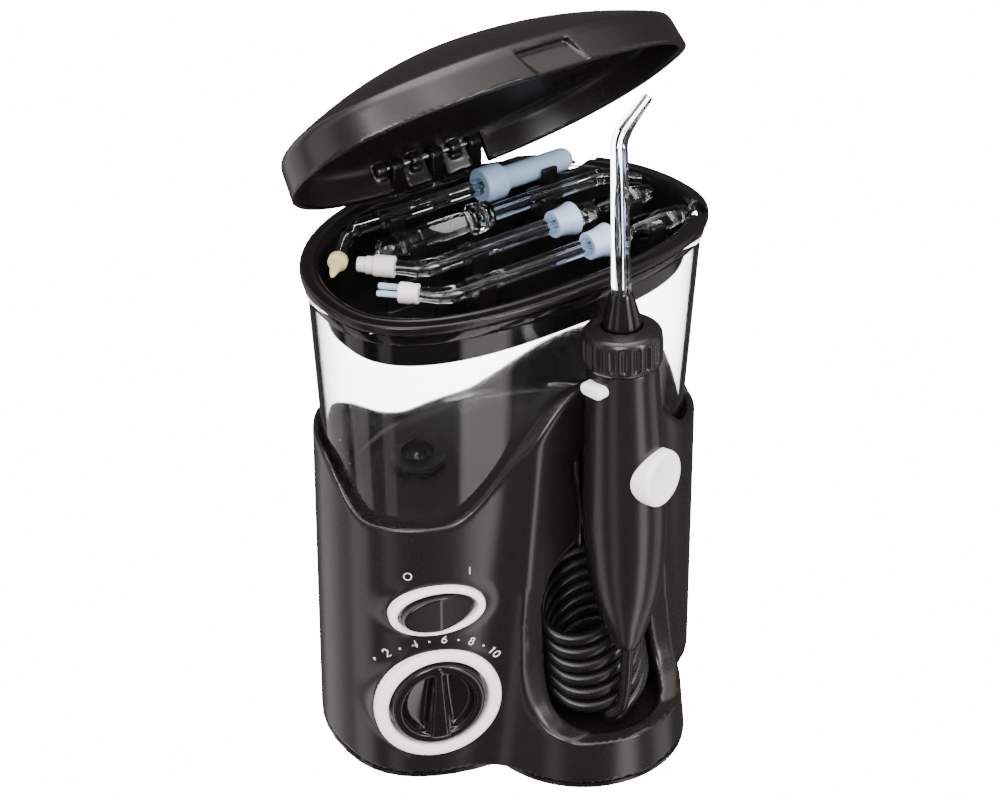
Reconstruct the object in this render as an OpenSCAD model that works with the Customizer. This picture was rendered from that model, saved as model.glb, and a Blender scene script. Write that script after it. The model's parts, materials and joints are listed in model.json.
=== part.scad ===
// Countertop water flosser: motor base, lift-off tank, tip tray with hinged lid, hand wand on a coiled hose.
// Millimetres. Origin: centre of the non-slip pad's underside, under the centre of the tank's oval.
// +X runs to the right along the tank's long axis, -Y is the front, +Z is up.

/* [Body] */
// Half width of the tank rim
rim_a = 68; // [66:0.5:70]
// Depth of the rim from its widest line to the front
rim_front = 36; // [35:0.5:37]
// Depth of the rim from its widest line to the back
rim_back = 55; // [54:0.5:56]
// Height of the tray flange's top face
rim_z = 168; // [166:1:170]
// Height of the deck that the tank stands on
deck_z = 82; // [81.5:0.5:83]
// Wall thickness of the base housing
wall = 2.5; // [2:0.1:2.8]

/* [Front lobe] */
// Sideways offset of the wand, lobe and lid tab from the centre line
lobe_x = 4; // [3:0.5:5]
// Radius of the lobe at the counter
lobe_r = 34; // [33:0.5:35]
// Height of the bowl's front lip
lip_z = 18; // [16:0.5:20]

/* [Lid] */
// How far the lid stands open, in degrees
lid_open = 44; // [0:1:80]
// Height of the lid's straight skirt
skirt_h = 13; // [12:0.5:14]

/* [Wand] */
// Length of the wand body below its collar
wand_len = 102; // [100:1:104]
// Lean of the wand from vertical, in degrees
wand_lean = 3.5; // [3:0.1:4]

/* [Drive] */
// Teeth on the motor pinion
pinion_teeth = 12; // [12:1:12]
// Teeth on the crank gear
crank_teeth = 48; // [48:1:48]
// Crank radius, half the piston's stroke
crank_r = 3; // [2:0.5:3]

/* [Hidden] */
$fn = 48;

gap = 0.3;          // clearance between parts that only stand next to each other
run = 0.05;         // radial running clearance of a shaft in its bore
ring_n = 48;        // points round an oval
pad_t = 1.5;        // thickness of the rubber pad
plate_t = 3;        // thickness of the base plate
tank_floor_z = deck_z + gap;
tank_top_z = rim_z - 3 - gap;
tray_drop = 16;     // how far the tray's tub hangs below its flange
lobe_y = -32.5;     // centre of the lobe's round plan
peak_z = 134;       // top of the housing behind the wand
trough_z = 96.5;    // lowest point of the housing's wavy rim
side_z = 111;       // height of the housing's rim at its left and right ends
back_z = 84;        // height of the housing's rim at the middle of the back
panel_az = 22;      // the control panel turns this far to the left of the front
valve_xy = [-20, 25];

// ---------- ovals and lofts ----------
function spow(v, p) = sign(v) * pow(abs(v), p);
function oval(a, f, b, z) = [
    for (i = [0:ring_n - 1]) let (t = 360 * i / ring_n, c = cos(t), s = sin(t), n = s < 0 ? 2.5 : 2.1)
        [a * spow(c, 2 / n), (s < 0 ? f : b) * spow(s, 2 / n), z]
];
// A rim-shaped oval drawn in by d from the tray flange's outline, at height z
function rim_oval(d, z) = oval(rim_a - d, rim_front - d, rim_back - d, z);
function flat(r) = [for (p = r) [p[0], p[1]]];

// Skins a closed solid over a list of rings, each with the same number of points
module loft(rings) {
    n = len(rings[0]);
    m = len(rings);
    points = [for (r = rings) each r];
    sides = [for (k = [0:m - 2], i = [0:n - 1]) let (j = (i + 1) % n)
        each [[k * n + i, k * n + n + i, k * n + n + j], [k * n + i, k * n + n + j, k * n + j]]];
    bottom = [for (i = [0:n - 1]) i];
    top = [for (i = [n - 1:-1:0]) (m - 1) * n + i];
    polyhedron(points, concat(sides, [bottom, top]), convexity = 6);
}

// A round tube swept along a list of points
function unit(v) = v / norm(v);
function tangent(p, i) = unit(p[min(i + 1, len(p) - 1)] - p[max(i - 1, 0)]);
// ref is any direction that the path never runs along
module tube_path(p, r, n = 8, ref = [0.3, -0.5, 0.81]) {
    rings = [for (i = [0:len(p) - 1]) let (t = tangent(p, i), u = unit(cross(t, ref)), v = cross(t, u))
        [for (k = [0:n - 1]) p[i] + r * (cos(360 * k / n) * u + sin(360 * k / n) * v)]];
    loft(rings);
}
function helix(r, pitch, turns, steps) = [for (i = [0:turns * steps]) let (a = 360 * i / steps)
    [r * cos(a), r * sin(a), pitch * i / steps]];
// Quadratic curve through three control points
function bend3(a, b, c, n = 8) = [for (i = [0:n]) let (t = i / n) (1 - t) * (1 - t)
        * a + 2 * t * (1 - t) * b + t * t * c];
function smooth(v, lo, hi) = let (t = min(1, max(0, (v - lo) / (hi - lo)))) t * t * (3 - 2 * t);

module oval_slab(d, z0, h) translate([0, 0, z0]) linear_extrude(h) polygon(flat(rim_oval(d, 0)));
module ring(r_out, r_in, h) difference() {
    cylinder(r = r_out, h = h);
    translate([0, 0, -1]) cylinder(r = r_in, h = h + 2);
}

// ---------- base housing ----------
lobe_top_r = 20.5;
function rim_front_z(x) = trough_z + (peak_z - trough_z) * smooth(-abs(x - lobe_x), -51, -6);
function rim_side_z(y) = trough_z + (side_z - trough_z) * smooth(y, -12, 12);
function rim_back_z(x) = back_z + (side_z - back_z) * smooth(abs(x - 5), 8, 62);

// Everything above the wavy rim: a front part, the two ends and a back part
module above_rim() {
    rotate([90, 0, 0]) translate([0, 0, 11]) linear_extrude(70)
        polygon(concat([for (x = [-80:5:80]) [x, rim_front_z(x)]], [[80, 200], [-80, 200]]));
    rotate([90, 0, 90]) translate([0, 0, -90]) linear_extrude(180)
        polygon(concat([for (y = [-12:4:12]) [y, rim_side_z(y)]], [[12, 200], [-12, 200]]));
    translate([0, 11.9, 0]) rotate([90, 0, 0]) translate([0, 0, -70]) linear_extrude(70)
        polygon(concat([for (x = [-80:5:80]) [x, rim_back_z(x)]], [[80, 200], [-80, 200]]));
}
// Everything in front of the wand recess and above the bowl's lip
module recess_opening() rotate([90, 0, 90]) translate([0, 0, -60]) linear_extrude(120)
    polygon([[-80, lip_z - 0.5], [-56, lip_z + 0.5], [-49, lip_z + 2.5], [-43, lip_z + 8], [-40, lip_z + 17],
        [-38.6, 60], [-37.6, 140], [-80, 140]]);

module panel_place(z) translate([-49.5, -27.5, z]) rotate([0, 0, -panel_az]) rotate([90, 0, 0]) children();

module base_housing() color([0.1, 0.095, 0.09]) difference() {
    union() {
        loft([oval(67, 36, 54.3, 3), oval(65.8, 34, 53, peak_z)]);
        translate([lobe_x, lobe_y, 3]) cylinder(r1 = lobe_r, r2 = lobe_top_r, h = peak_z - 3);
    }
    // motor compartment, below the deck
    difference() {
        union() {
            loft([oval(67 - wall, 36 - wall, 54.3 - wall, -1), oval(66 - wall, 34.6 - wall,
                    53.4 - wall, deck_z - wall)]);
            translate([lobe_x, lobe_y, -1]) cylinder(r1 = lobe_r - wall, r2 = 24.5 - wall,
                    h = deck_z - wall + 1);
        }
        for (s = screw_xy) translate([s[0], s[1], 3]) cylinder(r = 3.6, h = 14);
    }
    for (s = screw_xy) translate([s[0], s[1], -1]) cylinder(r = 1.25, h = 15);
    // tank socket, above the deck
    loft([oval(62.6, 30.6, 49.7, deck_z), oval(65.1, 33.1, 52.1, 140)]);
    above_rim();
    recess_opening();
    // window behind the wand, which the liner closes
    translate([lobe_x - 23, -50, 14]) cube([46, 20, 64]);
    panel_place(31) translate([0, 0, -14]) cylinder(r = 20.6, h = 40);
    panel_place(67) translate([0, 0, -14]) linear_extrude(40) ellipse(15.4, 9.1);
    translate([valve_xy[0], valve_xy[1], deck_z - wall - 1]) cylinder(r = 8.5, h = wall + 3);
    translate([cord_x, 40, cord_z]) rotate([-90, 0, 0]) cylinder(r = 4.05, h = 30);
}

screw_xy = [[-61.3, -4], [61.3, -4], [-29, -29], [44, -27], [-10, 48.5]];

module base_plate() color([0.09, 0.09, 0.09]) difference() {
    union() {
        translate([0, 0, pad_t]) linear_extrude(plate_t - pad_t) union() {
            polygon(flat(oval(67, 36, 54.3, 0)));
            translate([lobe_x, lobe_y]) circle(r = lobe_r);
        }
        // locating rim inside the housing
        translate([0, 0, plate_t]) linear_extrude(4) difference() {
            polygon(flat(oval(64.2, 33.2, 51.5, 0)));
            polygon(flat(oval(62.4, 31.4, 49.7, 0)));
            translate([lobe_x, lobe_y]) circle(r = lobe_r - wall - gap);
            for (s = screw_xy) translate(s) circle(r = 6);
            translate([cord_x, 48]) circle(r = 7);
        }
    }
    for (s = screw_xy) translate([s[0], s[1], pad_t - 1]) cylinder(r = 1.8, h = 12);
    // vent slots under the motor
    for (k = [0:4]) translate([18 + 6 * k, 8, 0]) cube([2.5, 18, 9]);
}

module non_slip_pad() color([0.05, 0.05, 0.05]) difference() {
    linear_extrude(pad_t) polygon(flat(oval(61, 30, 48, 0)));
    for (s = screw_xy) translate([s[0], s[1], -1]) cylinder(r = 3.4, h = 5);
    for (k = [0:4]) translate([18 + 6 * k, 8, -1]) cube([2.5, 18, 5]);
}

module plate_screws() color("silver") for (s = screw_xy) translate([s[0], s[1], 0.2]) difference() {
    union() {
        cylinder(r = 2.9, h = 1.2);
        cylinder(r = 1.2, h = 13);
    }
    translate([-0.4, -2, -0.1]) cube([0.8, 4, 0.6]);
    translate([-2, -0.4, -0.1]) cube([4, 0.8, 0.6]);
}

// ---------- recess behind the wand ----------
well_y = -38;       // centre of the hose well
module recess_liner() color([0.11, 0.105, 0.1]) difference() {
    union() {
        // back panel, widening downwards
        translate([lobe_x, -36.2, 0]) rotate([90, 0, 0]) linear_extrude(2)
            polygon([[-28, 15], [28, 15], [21, deck_z - wall - 0.2], [-21, deck_z - wall - 0.2]]);
        intersection() {
            translate([lobe_x, well_y, 10]) cylinder(r = 22.8, h = deck_z - wall - 10.2);
            translate([-50, -38.2, 0]) cube([100, 40, 100]);
        }
        translate([lobe_x, lobe_y, 10]) cylinder(r = 29.2, h = 2);
    }
    translate([lobe_x, well_y, 12]) cylinder(r = 20.8, h = 45.5);
    translate([lobe_x, well_y, 57.5]) sphere(r = 20.6);
    translate([-50, -90, 12]) cube([100, 51.7, 6]);
    translate(hose_in - [3, -1.8, 0]) rotate([0, 0, -31]) rotate([0, 90, 0]) cylinder(r = 2.7, h = 9);
    // upper corners, clear of the housing
    for (s = [-1, 1]) translate([lobe_x + s * 26.2 - 5, -38.3, 77.8]) cube([10, 8, 3]);
}
hose_in = [-15.6, -26.3, 62];

module wand_place() translate([lobe_x, -55, 45]) rotate([-wand_lean, 0, 0]) children();

module wand_cradle() color([0.1, 0.095, 0.09]) intersection() {
    wand_place() difference() {
        intersection() {
            translate([0, 0, 38]) ring(15.3, 13.5, 32);
            translate([-20, 6, 0]) cube([40, 20, 120]);
        }
        // finger scallop on the left edge
        translate([-16, 10, 74]) rotate([90, 0, 0]) cylinder(r = 9, h = 30, center = true);
    }
    translate([0, -0.02, 0]) recess_opening();
}

// ---------- control panel ----------
module ellipse(w, h) polygon([for (i = [0:35]) [w * cos(10 * i), h * sin(10 * i)]]);

module dial_bezel() color([0.86, 0.87, 0.84]) panel_place(31) translate([0, 0, -7.5]) difference() {
    union() {
        cylinder(r = 20.5, h = 9);
        translate([0, 0, -2]) cylinder(r = 17.6, h = 3);
    }
    translate([0, 0, 2]) cylinder(r = 16.2, h = 20);
    translate([0, 0, -5]) cylinder(r = 5, h = 20);
}

module dial_knob() color([0.08, 0.075, 0.07]) panel_place(31) {
    difference() {
        union() {
            translate([0, 0, -5]) cylinder(r1 = 15.4, r2 = 13.6, h = 6.4);
            translate([0, 0, -26]) cylinder(r = 3, h = 22);
        }
        for (s = [-1, 1]) translate([s * 8.2, -2, -1.4]) cylinder(r = 5.6, h = 10);
    }
    translate([-2, -12.5, 1]) cube([4, 25, 2.4]);
}

module control_valve_body() color([0.8, 0.8, 0.78]) panel_place(31) difference() {
    union() {
        translate([0, 0, -29]) cylinder(r = 8, h = 19);
        translate([0, 0, -22]) rotate([0, 90, 0]) cylinder(r = 3, h = 12);
        translate([0, 0, -22]) rotate([90, 0, 0]) cylinder(r = 3, h = 11);
    }
    translate([0, 0, -26.5]) cylinder(r = 3 + run, h = 30);
    translate([0, 0, -22]) rotate([0, 90, 0]) cylinder(r = 1.5, h = 20);
    translate([0, 0, -22]) rotate([90, 0, 0]) cylinder(r = 1.5, h = 20);
}

module switch_bezel() color([0.86, 0.87, 0.84]) panel_place(67) translate([0, 0, -5.5]) difference() {
    linear_extrude(7) ellipse(15.3, 9);
    translate([0, 0, 1.5]) linear_extrude(7) ellipse(12.9, 6.7);
    translate([-9, -4, -1]) cube([18, 8, 4]);
}

rocker_tilt = 11;
module rocker() color([0.09, 0.085, 0.08]) panel_place(67) rotate([0, rocker_tilt, 0]) difference() {
    union() {
        translate([0, 0, -1.6]) linear_extrude(4.8) ellipse(11.8, 6.1);
        translate([-2.5, -3, -6.4]) cube([5, 6, 5]);
        rotate([90, 0, 0]) cylinder(r = 0.9, h = 13, center = true);
    }
    // two shallow facets that meet at the middle of the face
    translate([0, -8, 3.2]) rotate([0, 6, 0]) cube([20, 16, 4]);
    translate([0, -8, 3.2]) rotate([0, -6, 0]) translate([-20, 0, 0]) cube([20, 16, 4]);
}

module switch_module() color([0.15, 0.15, 0.16]) panel_place(67) difference() {
    translate([-8.5, -6, -22]) cube([17, 12, 15]);
    translate([-5.5, -4, -9]) cube([11, 8, 5]);
}

// ---------- pump drive ----------
drive_y = 15;
motor_z = 24;
crank_z = 54;
rod_x = -12.2;

// A spur gear of module 1 with straight-sided teeth, thinned for backlash
function tooth(r, a, n) = let (w = 90 / n) [
    [(r - 1.2) * cos(a - 1.35 * w), (r - 1.2) * sin(a - 1.35 * w)],
    [(r + 0.8) * cos(a - 0.42 * w), (r + 0.8) * sin(a - 0.42 * w)],
    [(r + 0.8) * cos(a + 0.42 * w), (r + 0.8) * sin(a + 0.42 * w)],
    [(r - 1.2) * cos(a + 1.35 * w), (r - 1.2) * sin(a + 1.35 * w)]
];
module spur(n, phase) polygon([for (i = [0:n - 1]) each tooth(n / 2, phase + 360 * i / n, n)]);
// Draws with local Z along +X
module along_x(x, y, z) translate([x, y, z]) rotate([0, 90, 0]) children();

module crank_gear() color([0.93, 0.93, 0.9]) {
    along_x(-3, drive_y, crank_z) difference() {
        union() {
            linear_extrude(6) spur(crank_teeth, 180 / crank_teeth);
            cylinder(r = 5, h = 6.6);
        }
        translate([0, 0, -1]) cylinder(r = 2 + run, h = 10);
        for (a = [45:90:315]) rotate([0, 0, a]) translate([14, 0, -1]) cylinder(r = 4.5, h = 10);
    }
    // crank web and pin
    along_x(-8, drive_y, crank_z - crank_r) cylinder(r = 4.2, h = 5.2);
    along_x(rod_x - 1.9, drive_y, crank_z - crank_r) cylinder(r = 1.5, h = 5.4);
}

module gear_axle() color("silver") along_x(-2.6, drive_y, crank_z) union() {
    cylinder(r = 2, h = 10.2);
    translate([0, 0, 6.8]) cylinder(r = 3.4, h = 0.38);
}

module drive_pinion() color("goldenrod") along_x(-3, drive_y, motor_z) difference() {
    linear_extrude(6) spur(pinion_teeth, 0);
    translate([0, 0, -1]) cylinder(r = 1.5, h = 10);
}

module motor_rotor() color([0.6, 0.35, 0.2]) along_x(-3, drive_y, motor_z) {
    cylinder(r = 1.48, h = 54);
    translate([0, 0, 17]) difference() {
        cylinder(r = 12, h = 24);
        for (a = [0:60:300]) rotate([0, 0, a]) translate([9.5, -1, -1]) cube([6, 2, 40]);
    }
    translate([0, 0, 42.5]) cylinder(r = 4.5, h = 4.5);
}

module motor_can() color([0.75, 0.75, 0.77]) along_x(7.8, drive_y, motor_z) difference() {
    cylinder(r = 18, h = 38);
    translate([0, 0, 2]) cylinder(r = 16.4, h = 50);
    translate([0, 0, -1]) cylinder(r = 1.48 + run, h = 10);
}

module motor_end_cap() color([0.2, 0.2, 0.22]) along_x(46, drive_y, motor_z) difference() {
    cylinder(r = 17.8, h = 3);
    translate([0, 0, -1]) cylinder(r = 1.48 + run, h = 10);
}

module gearbox_frame() color([0.25, 0.27, 0.3]) difference() {
    union() {
        translate([4.6, drive_y - 17, plate_t + 0.2]) cube([3, 34, 62]);
        translate([-22.2, drive_y - 12, 12.2]) cube([27, 24, 4.3]);
        // motor saddle
        translate([20, drive_y - 10, plate_t + 0.2]) cube([20, 20, 7.6]);
        translate([4.6, drive_y - 10, plate_t + 0.2]) cube([20, 20, 3]);
    }
    along_x(4, drive_y, crank_z) cylinder(r = 2, h = 10);
    along_x(4, drive_y, motor_z) cylinder(r = 8, h = 10);
    along_x(7.8, drive_y, motor_z) cylinder(r = 18.1, h = 60);
    translate([rod_x, drive_y, 10]) cylinder(r = 8.55, h = 40);
}

rod_top = crank_z - crank_r;
rod_bottom = 31.6;
module connecting_rod() color([0.88, 0.88, 0.86]) difference() {
    union() {
        along_x(rod_x - 1.25, drive_y, rod_top) cylinder(r = 3, h = 2.5);
        along_x(rod_x - 1.25, drive_y, rod_bottom) cylinder(r = 1.8, h = 2.5);
        translate([rod_x - 1.25, drive_y - 1, rod_bottom]) cube([2.5, 2, rod_top - rod_bottom]);
    }
    along_x(rod_x - 3, drive_y, rod_top) cylinder(r = 1.5 + run, h = 6);
    along_x(rod_x - 3, drive_y, rod_bottom) cylinder(r = 0.9, h = 6);
}

module wrist_pin() color("silver") along_x(rod_x - 2, drive_y, rod_bottom) cylinder(r = 0.88, h = 4);

module pump_cylinder() color([0.85, 0.85, 0.82]) translate([rod_x, drive_y, 0]) difference() {
    union() {
        translate([0, 0, 12]) cylinder(r = 8.5, h = 30);
        translate([0, 0, 16.7]) cylinder(r = 9, h = 2);
    }
    translate([0, 0, 14]) cylinder(r = 6.4 + run, h = 30);
    translate([0, 0, 11]) cylinder(r = 1.6, h = 6);
}

module pump_piston() color([0.92, 0.92, 0.9]) translate([rod_x, drive_y, 0]) difference() {
    translate([0, 0, 18]) cylinder(r = 6.4, h = 22.6);
    translate([0, 0, 23]) cylinder(r = 5.6, h = 30);
    translate([0, 0, 19.6]) ring(8, 5.5, 1.6);
}

module piston_seal() color([0.1, 0.1, 0.1]) translate([rod_x, drive_y, 20.4])
    rotate_extrude() translate([5.97, 0]) circle(r = 0.44);

// Check valves beside the pump: inlet on the far left, outlet between it and the cylinder
inlet_x = -33.8;
outlet_x = -26.2;
module valve_block() color([0.8, 0.82, 0.8]) difference() {
    union() {
        translate([-37.6, drive_y - 5.5, plate_t + 0.2]) cube([29, 11, 8.6]);
        translate([inlet_x, drive_y, 11]) cylinder(r = 3.5, h = 7);
        translate([outlet_x, drive_y, 11]) cylinder(r = 3.5, h = 4);
    }
    // passage from the inlet and the outlet to the pump
    translate([rod_x, drive_y, 4.6]) cylinder(r = 1.6, h = 10);
    translate([inlet_x, drive_y, 5.4]) rotate([0, 90, 0]) cylinder(r = 0.8, h = rod_x - inlet_x);
    translate([inlet_x, drive_y, 4.4]) cylinder(r = 2.4, h = 9.8);
    translate([inlet_x, drive_y, 12]) cylinder(r = 1.5, h = 10);
    translate([outlet_x, drive_y, 4.6]) cylinder(r = 1.5, h = 3);
    translate([outlet_x, drive_y, 6.6]) cylinder(r = 2.4, h = 7.4);
    translate([outlet_x, drive_y, 9.6]) rotate([90, 0, 0]) cylinder(r = 1.2, h = 8);
}
module inlet_ball() color("silver") translate([inlet_x, drive_y, 12.55]) sphere(r = 2.2);
module outlet_ball() color("silver") translate([outlet_x, drive_y, 8.25]) sphere(r = 2.2);
module outlet_spring() color("silver") translate([outlet_x, drive_y, 11.8])
    tube_path(helix(1.7, 0.8, 2, 12), 0.2, 6);

module suction_tube() color([0.8, 0.85, 0.85]) difference() {
    tube_path(concat([[valve_xy[0], valve_xy[1], deck_z - 4]],
        bend3([valve_xy[0], valve_xy[1], 60], [inlet_x, drive_y, 50], [inlet_x, drive_y, 24]),
        [[inlet_x, drive_y, 18.3]]), 3, 12);
    translate([valve_xy[0], valve_xy[1], deck_z - 8]) cylinder(r = 1.8, h = 6);
    translate([inlet_x, drive_y, 18]) cylinder(r = 1.8, h = 4);
}
// Runs from the outlet valve up into the underside of the control valve
module pressure_tube() color([0.8, 0.85, 0.85])
    tube_path(concat(bend3([outlet_x, 9.2, 9.6], [outlet_x, -7, 9.6], [-34, -7, 9.6]),
        bend3([-38, -7.1, 9.6], [-41.3, -7.1, 10], [-41.3, -7.1, 19.6])), 1.9, 10);
// Runs from the control valve to the back of the hose well
module hose_feed_tube() color([0.8, 0.85, 0.85])
    tube_path(concat(bend3([-29.8, -11.7, 31], [-24, -14.5, 31], [-22.6, -17, 42]),
        bend3([-22.4, -17.4, 46], [-21.5, -22.4, 62], hose_in + [-0.7, 0.5, 0])), 1.9, 10, [0, 1, 0]);

module wiring_loom() color([0.7, 0.15, 0.1]) {
    tube_path(concat(bend3([-35, 0, 62], [-20, 67, 66], [30, 40, 60], 12),
        bend3([31.5, 39.4, 59.8], [53, 33, 58], [50.6, drive_y, 34], 6)), 1, 6);
    tube_path(bend3([-38, 2, 66], [-20, 59, 56], [cord_x, 39.5, cord_z], 14), 1, 6);
}

cord_x = 30;
cord_z = 10;
cord_r = 2.4;
module cord_grommet() color([0.06, 0.06, 0.06]) translate([cord_x, 0, cord_z]) rotate([-90, 0, 0])
        difference() {
    union() {
        translate([0, 0, 44]) cylinder(r = 4, h = 8);
        translate([0, 0, 51]) cylinder(r1 = 5.5, r2 = 3.4, h = 15);
    }
    translate([0, 0, 40]) cylinder(r = cord_r + 0.05, h = 40);
}
// The cord leaves the grommet, drops to the counter and ends in a two-pin plug
module power_cord() color([0.06, 0.06, 0.06]) {
    tube_path(concat([[cord_x, 42, cord_z]], bend3([cord_x, 68, cord_z], [cord_x, 77, cord_z], [cord_x,
            82, 6], 5),
        bend3([cord_x, 83, 5.2], [cord_x, 86.5, cord_r], [cord_x + 7, 92, cord_r], 5),
        [[cord_x + 18, 95, cord_r]]), cord_r, 12);
    translate([cord_x + 15, 95, 0]) rotate([0, 0, 5]) {
        translate([0, -8, 0]) cube([24, 16, 12]);
        for (y = [-6, 3]) translate([23, y, 4]) cube([16, 3, 4]);
    }
}

module socket_seal() color([0.15, 0.15, 0.15]) translate([valve_xy[0], valve_xy[1], deck_z - wall])
    ring(8.4, 7.2, wall);

// ---------- tank ----------
module tank() color([0.85, 0.88, 0.9, 0.35]) difference() {
    union() {
        loft([oval(60, 28.2, 47.2, tank_floor_z), oval(62.1, 30.1, 49.2, tank_floor_z + 3),
            oval(66, 34, 53, tank_top_z)]);
        translate([0, 0, tank_top_z - 3]) linear_extrude(3) polygon(flat(rim_oval(1.2, 0)));
    }
    loft([oval(58, 26.2, 45.2, tank_floor_z + 2), oval(60.3, 28.3, 47.4, tank_floor_z + 5),
        oval(64.1, 32.1, 51.1, tank_top_z + 1)]);
    translate([valve_xy[0], valve_xy[1], tank_floor_z - 1]) cylinder(r = 7, h = 5);
}
module tank_valve_body() color([0.12, 0.12, 0.12]) translate([valve_xy[0], valve_xy[1], 0]) difference() {
    union() {
        translate([0, 0, deck_z - wall - 0.5]) cylinder(r = 6.95, h = 5.5);
        translate([0, 0, tank_floor_z + 2.1]) cylinder(r = 9, h = 1.6);
    }
    translate([0, 0, deck_z - wall - 2]) cylinder(r = 3.4, h = 12);
    translate([0, 0, deck_z - wall - 2]) cylinder(r = 5.2, h = 4);
}
module tank_valve_poppet() color([0.9, 0.9, 0.88]) translate([valve_xy[0], valve_xy[1], 0]) {
    translate([0, 0, deck_z - wall + 1.6]) cylinder(r = 1.6, h = 8);
    translate([0, 0, tank_floor_z + 5.4]) cylinder(r1 = 5.5, r2 = 4, h = 1.6);
}

// ---------- tip tray ----------
tip_z = rim_z;      // height of the stored tips' axes
tray_floor_z = rim_z - tray_drop;
pocket_y = 34;
spare_y = 19;
brush_y = 1.5;
plaque_y = -16;
// Cradle post: a block with an upward-opening slot for a tip of radius r
module post(x, y, r, w = 6, up = 0) difference() {
    translate([x - w / 2, y - r - 1.6, tray_floor_z - 0.5]) cube([w, 2 * r + 3.2,
            tip_z + up + 1.7 - tray_floor_z]);
    translate([x - w, y, tip_z + up]) rotate([0, 90, 0]) cylinder(r = r + 0.2, h = 2 * w);
    translate([x - w, y - r - 0.2, tip_z + up]) cube([2 * w, 2 * r + 0.4, 20]);
}
hinge_x = 6;
hinge_y = rim_back - 4.6;
hinge_z = rim_z + 8;
module tip_tray() color([0.09, 0.085, 0.08]) {
    difference() {
        union() {
            oval_slab(0, rim_z - 3, 3);
            loft([oval(60, 28, 47, tray_floor_z - 2), oval(63.3, 31.3, 50.3, rim_z - 2)]);
            for (x = [-15, 0, 15]) translate([hinge_x + x, 0, 0]) hull() {
                translate([-2.5, hinge_y - 2.2, rim_z - 2.5]) cube([5, 4.4, 2.4]);
                translate([-2.5, hinge_y, hinge_z]) rotate([0, 90, 0]) cylinder(r = 2.2, h = 5);
            }
        }
        loft([oval(58.2, 26.2, 45.2, tray_floor_z), oval(62, 30, 47.9, rim_z + 1)]);
        along_x(-40, hinge_y, hinge_z) cylinder(r = 1.02, h = 90);
        // step that the lid's back edge swings over, between and beside the knuckles
        for (x = [[-31, 13.3], [-12.3, 9.6], [2.7, 9.6], [17.7, 13.3]])
            translate([hinge_x + x[0], rim_back - 8, rim_z - 1.4]) cube([x[1], 12, 5]);
        // hollows under the two tips that reach furthest over the rim
        translate([36, pocket_y, tip_z + 1.2]) rotate([0, 90, 0]) cylinder(r = 4.1, h = 20.5);
        translate([46, plaque_y, tip_z]) rotate([0, 90, 0]) cylinder(r = 3.7, h = 11);
    }
    intersection() {
        union() {
            post(-22, pocket_y, 2.8, 6, 1.2);
            post(36, pocket_y, 4, 6, 1.2);
            post(-25, spare_y, 3.6);
            post(25, spare_y, 2.8);
            post(-14, brush_y, 2.8);
            post(45, brush_y, 3.6);
            post(-24, plaque_y, 2.8);
            post(40, plaque_y, 3.6);
        }
        loft([oval(59.4, 27.4, 46.4, tray_floor_z - 1), oval(62.4, 30.4, 48.4, rim_z + 4)]);
    }
}
module hinge_pin() color("silver") along_x(hinge_x - 22.5, hinge_y, hinge_z) cylinder(r = 1, h = 45);

// ---------- lid, drawn closed and then swung open ----------
lid_z = rim_z + gap;
module lid_closed() difference() {
    union() {
        loft([rim_oval(0, lid_z), rim_oval(0.9, lid_z + skirt_h - 3), rim_oval(2.8, lid_z + skirt_h),
            oval(60, 29, 47, lid_z + skirt_h + 3.4), oval(49, 21, 36, lid_z + skirt_h + 7.8),
            oval(32, 12, 22, lid_z + skirt_h + 11.2), oval(12, 4, 8, lid_z + skirt_h + 12.8)]);
    }
    difference() {
        loft([rim_oval(2, lid_z - 1), rim_oval(2.8, lid_z + skirt_h - 3.6), rim_oval(4.8,
                lid_z + skirt_h - 1),
            oval(58, 27, 45, lid_z + skirt_h + 1.6), oval(47.4, 19.6, 34.4, lid_z + skirt_h + 5.9),
            oval(31, 11, 21, lid_z + skirt_h + 9.3), oval(12, 4, 8, lid_z + skirt_h + 10.8)]);
        // hinge ears on the inside of the back wall
        for (x = [-21, -7.5, 7.5, 21]) translate([hinge_x + x - 2, 0, 0]) hull() {
            translate([0, rim_back - 2.6, lid_z + 3.6]) cube([4, 2, 9]);
            translate([0, hinge_y, hinge_z]) rotate([0, 90, 0]) cylinder(r = 2.2, h = 4);
        }
    }
    along_x(-40, hinge_y, hinge_z) cylinder(r = 1 + run, h = 90);
    // notches that clear the tray's knuckles
    for (x = [-15, 0, 15]) translate([hinge_x + x - 3, rim_back - 9, rim_z - 2]) cube([6, 14, 13.4]);
    // finger tab
    translate([lobe_x - 10, -rim_front - 3, lid_z - 1]) cube([20, 4.2, 8]);
}
module lid() color([0.1, 0.095, 0.09]) translate([0, hinge_y, hinge_z]) rotate([-lid_open, 0, 0])
    translate([0, -hinge_y, -hinge_z]) lid_closed();

// ---------- tips ----------
tube_r = 2.6;
stub_r = 3.4;
// A stored tip along +X: stub on the right, bent head on the left. head_dir +1 bends it to the back
module tip_body(head_dir, head_len, length, stub_len = 32) {
    translate([stub_x, 0, 0]) rotate([0, 90, 0]) cylinder(r = stub_r, h = stub_len - stub_r);
    translate([stub_x + stub_len - stub_r, 0, 0]) sphere(r = stub_r);
    translate([stub_x - length, 0, 0]) rotate([0, 90, 0]) cylinder(r = tube_r, h = length);
    // bend and head
    translate([stub_x - length, 0, 0]) sphere(r = tube_r);
    translate([stub_x - length, 0, 0]) rotate([0, 0, 180 - head_dir * 46]) rotate([0, 90, 0])
        cylinder(r1 = tube_r, r2 = 1.7, h = head_len);
}
stub_x = 24;
module tip_at(y) translate([0, y, tip_z]) children();
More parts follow.
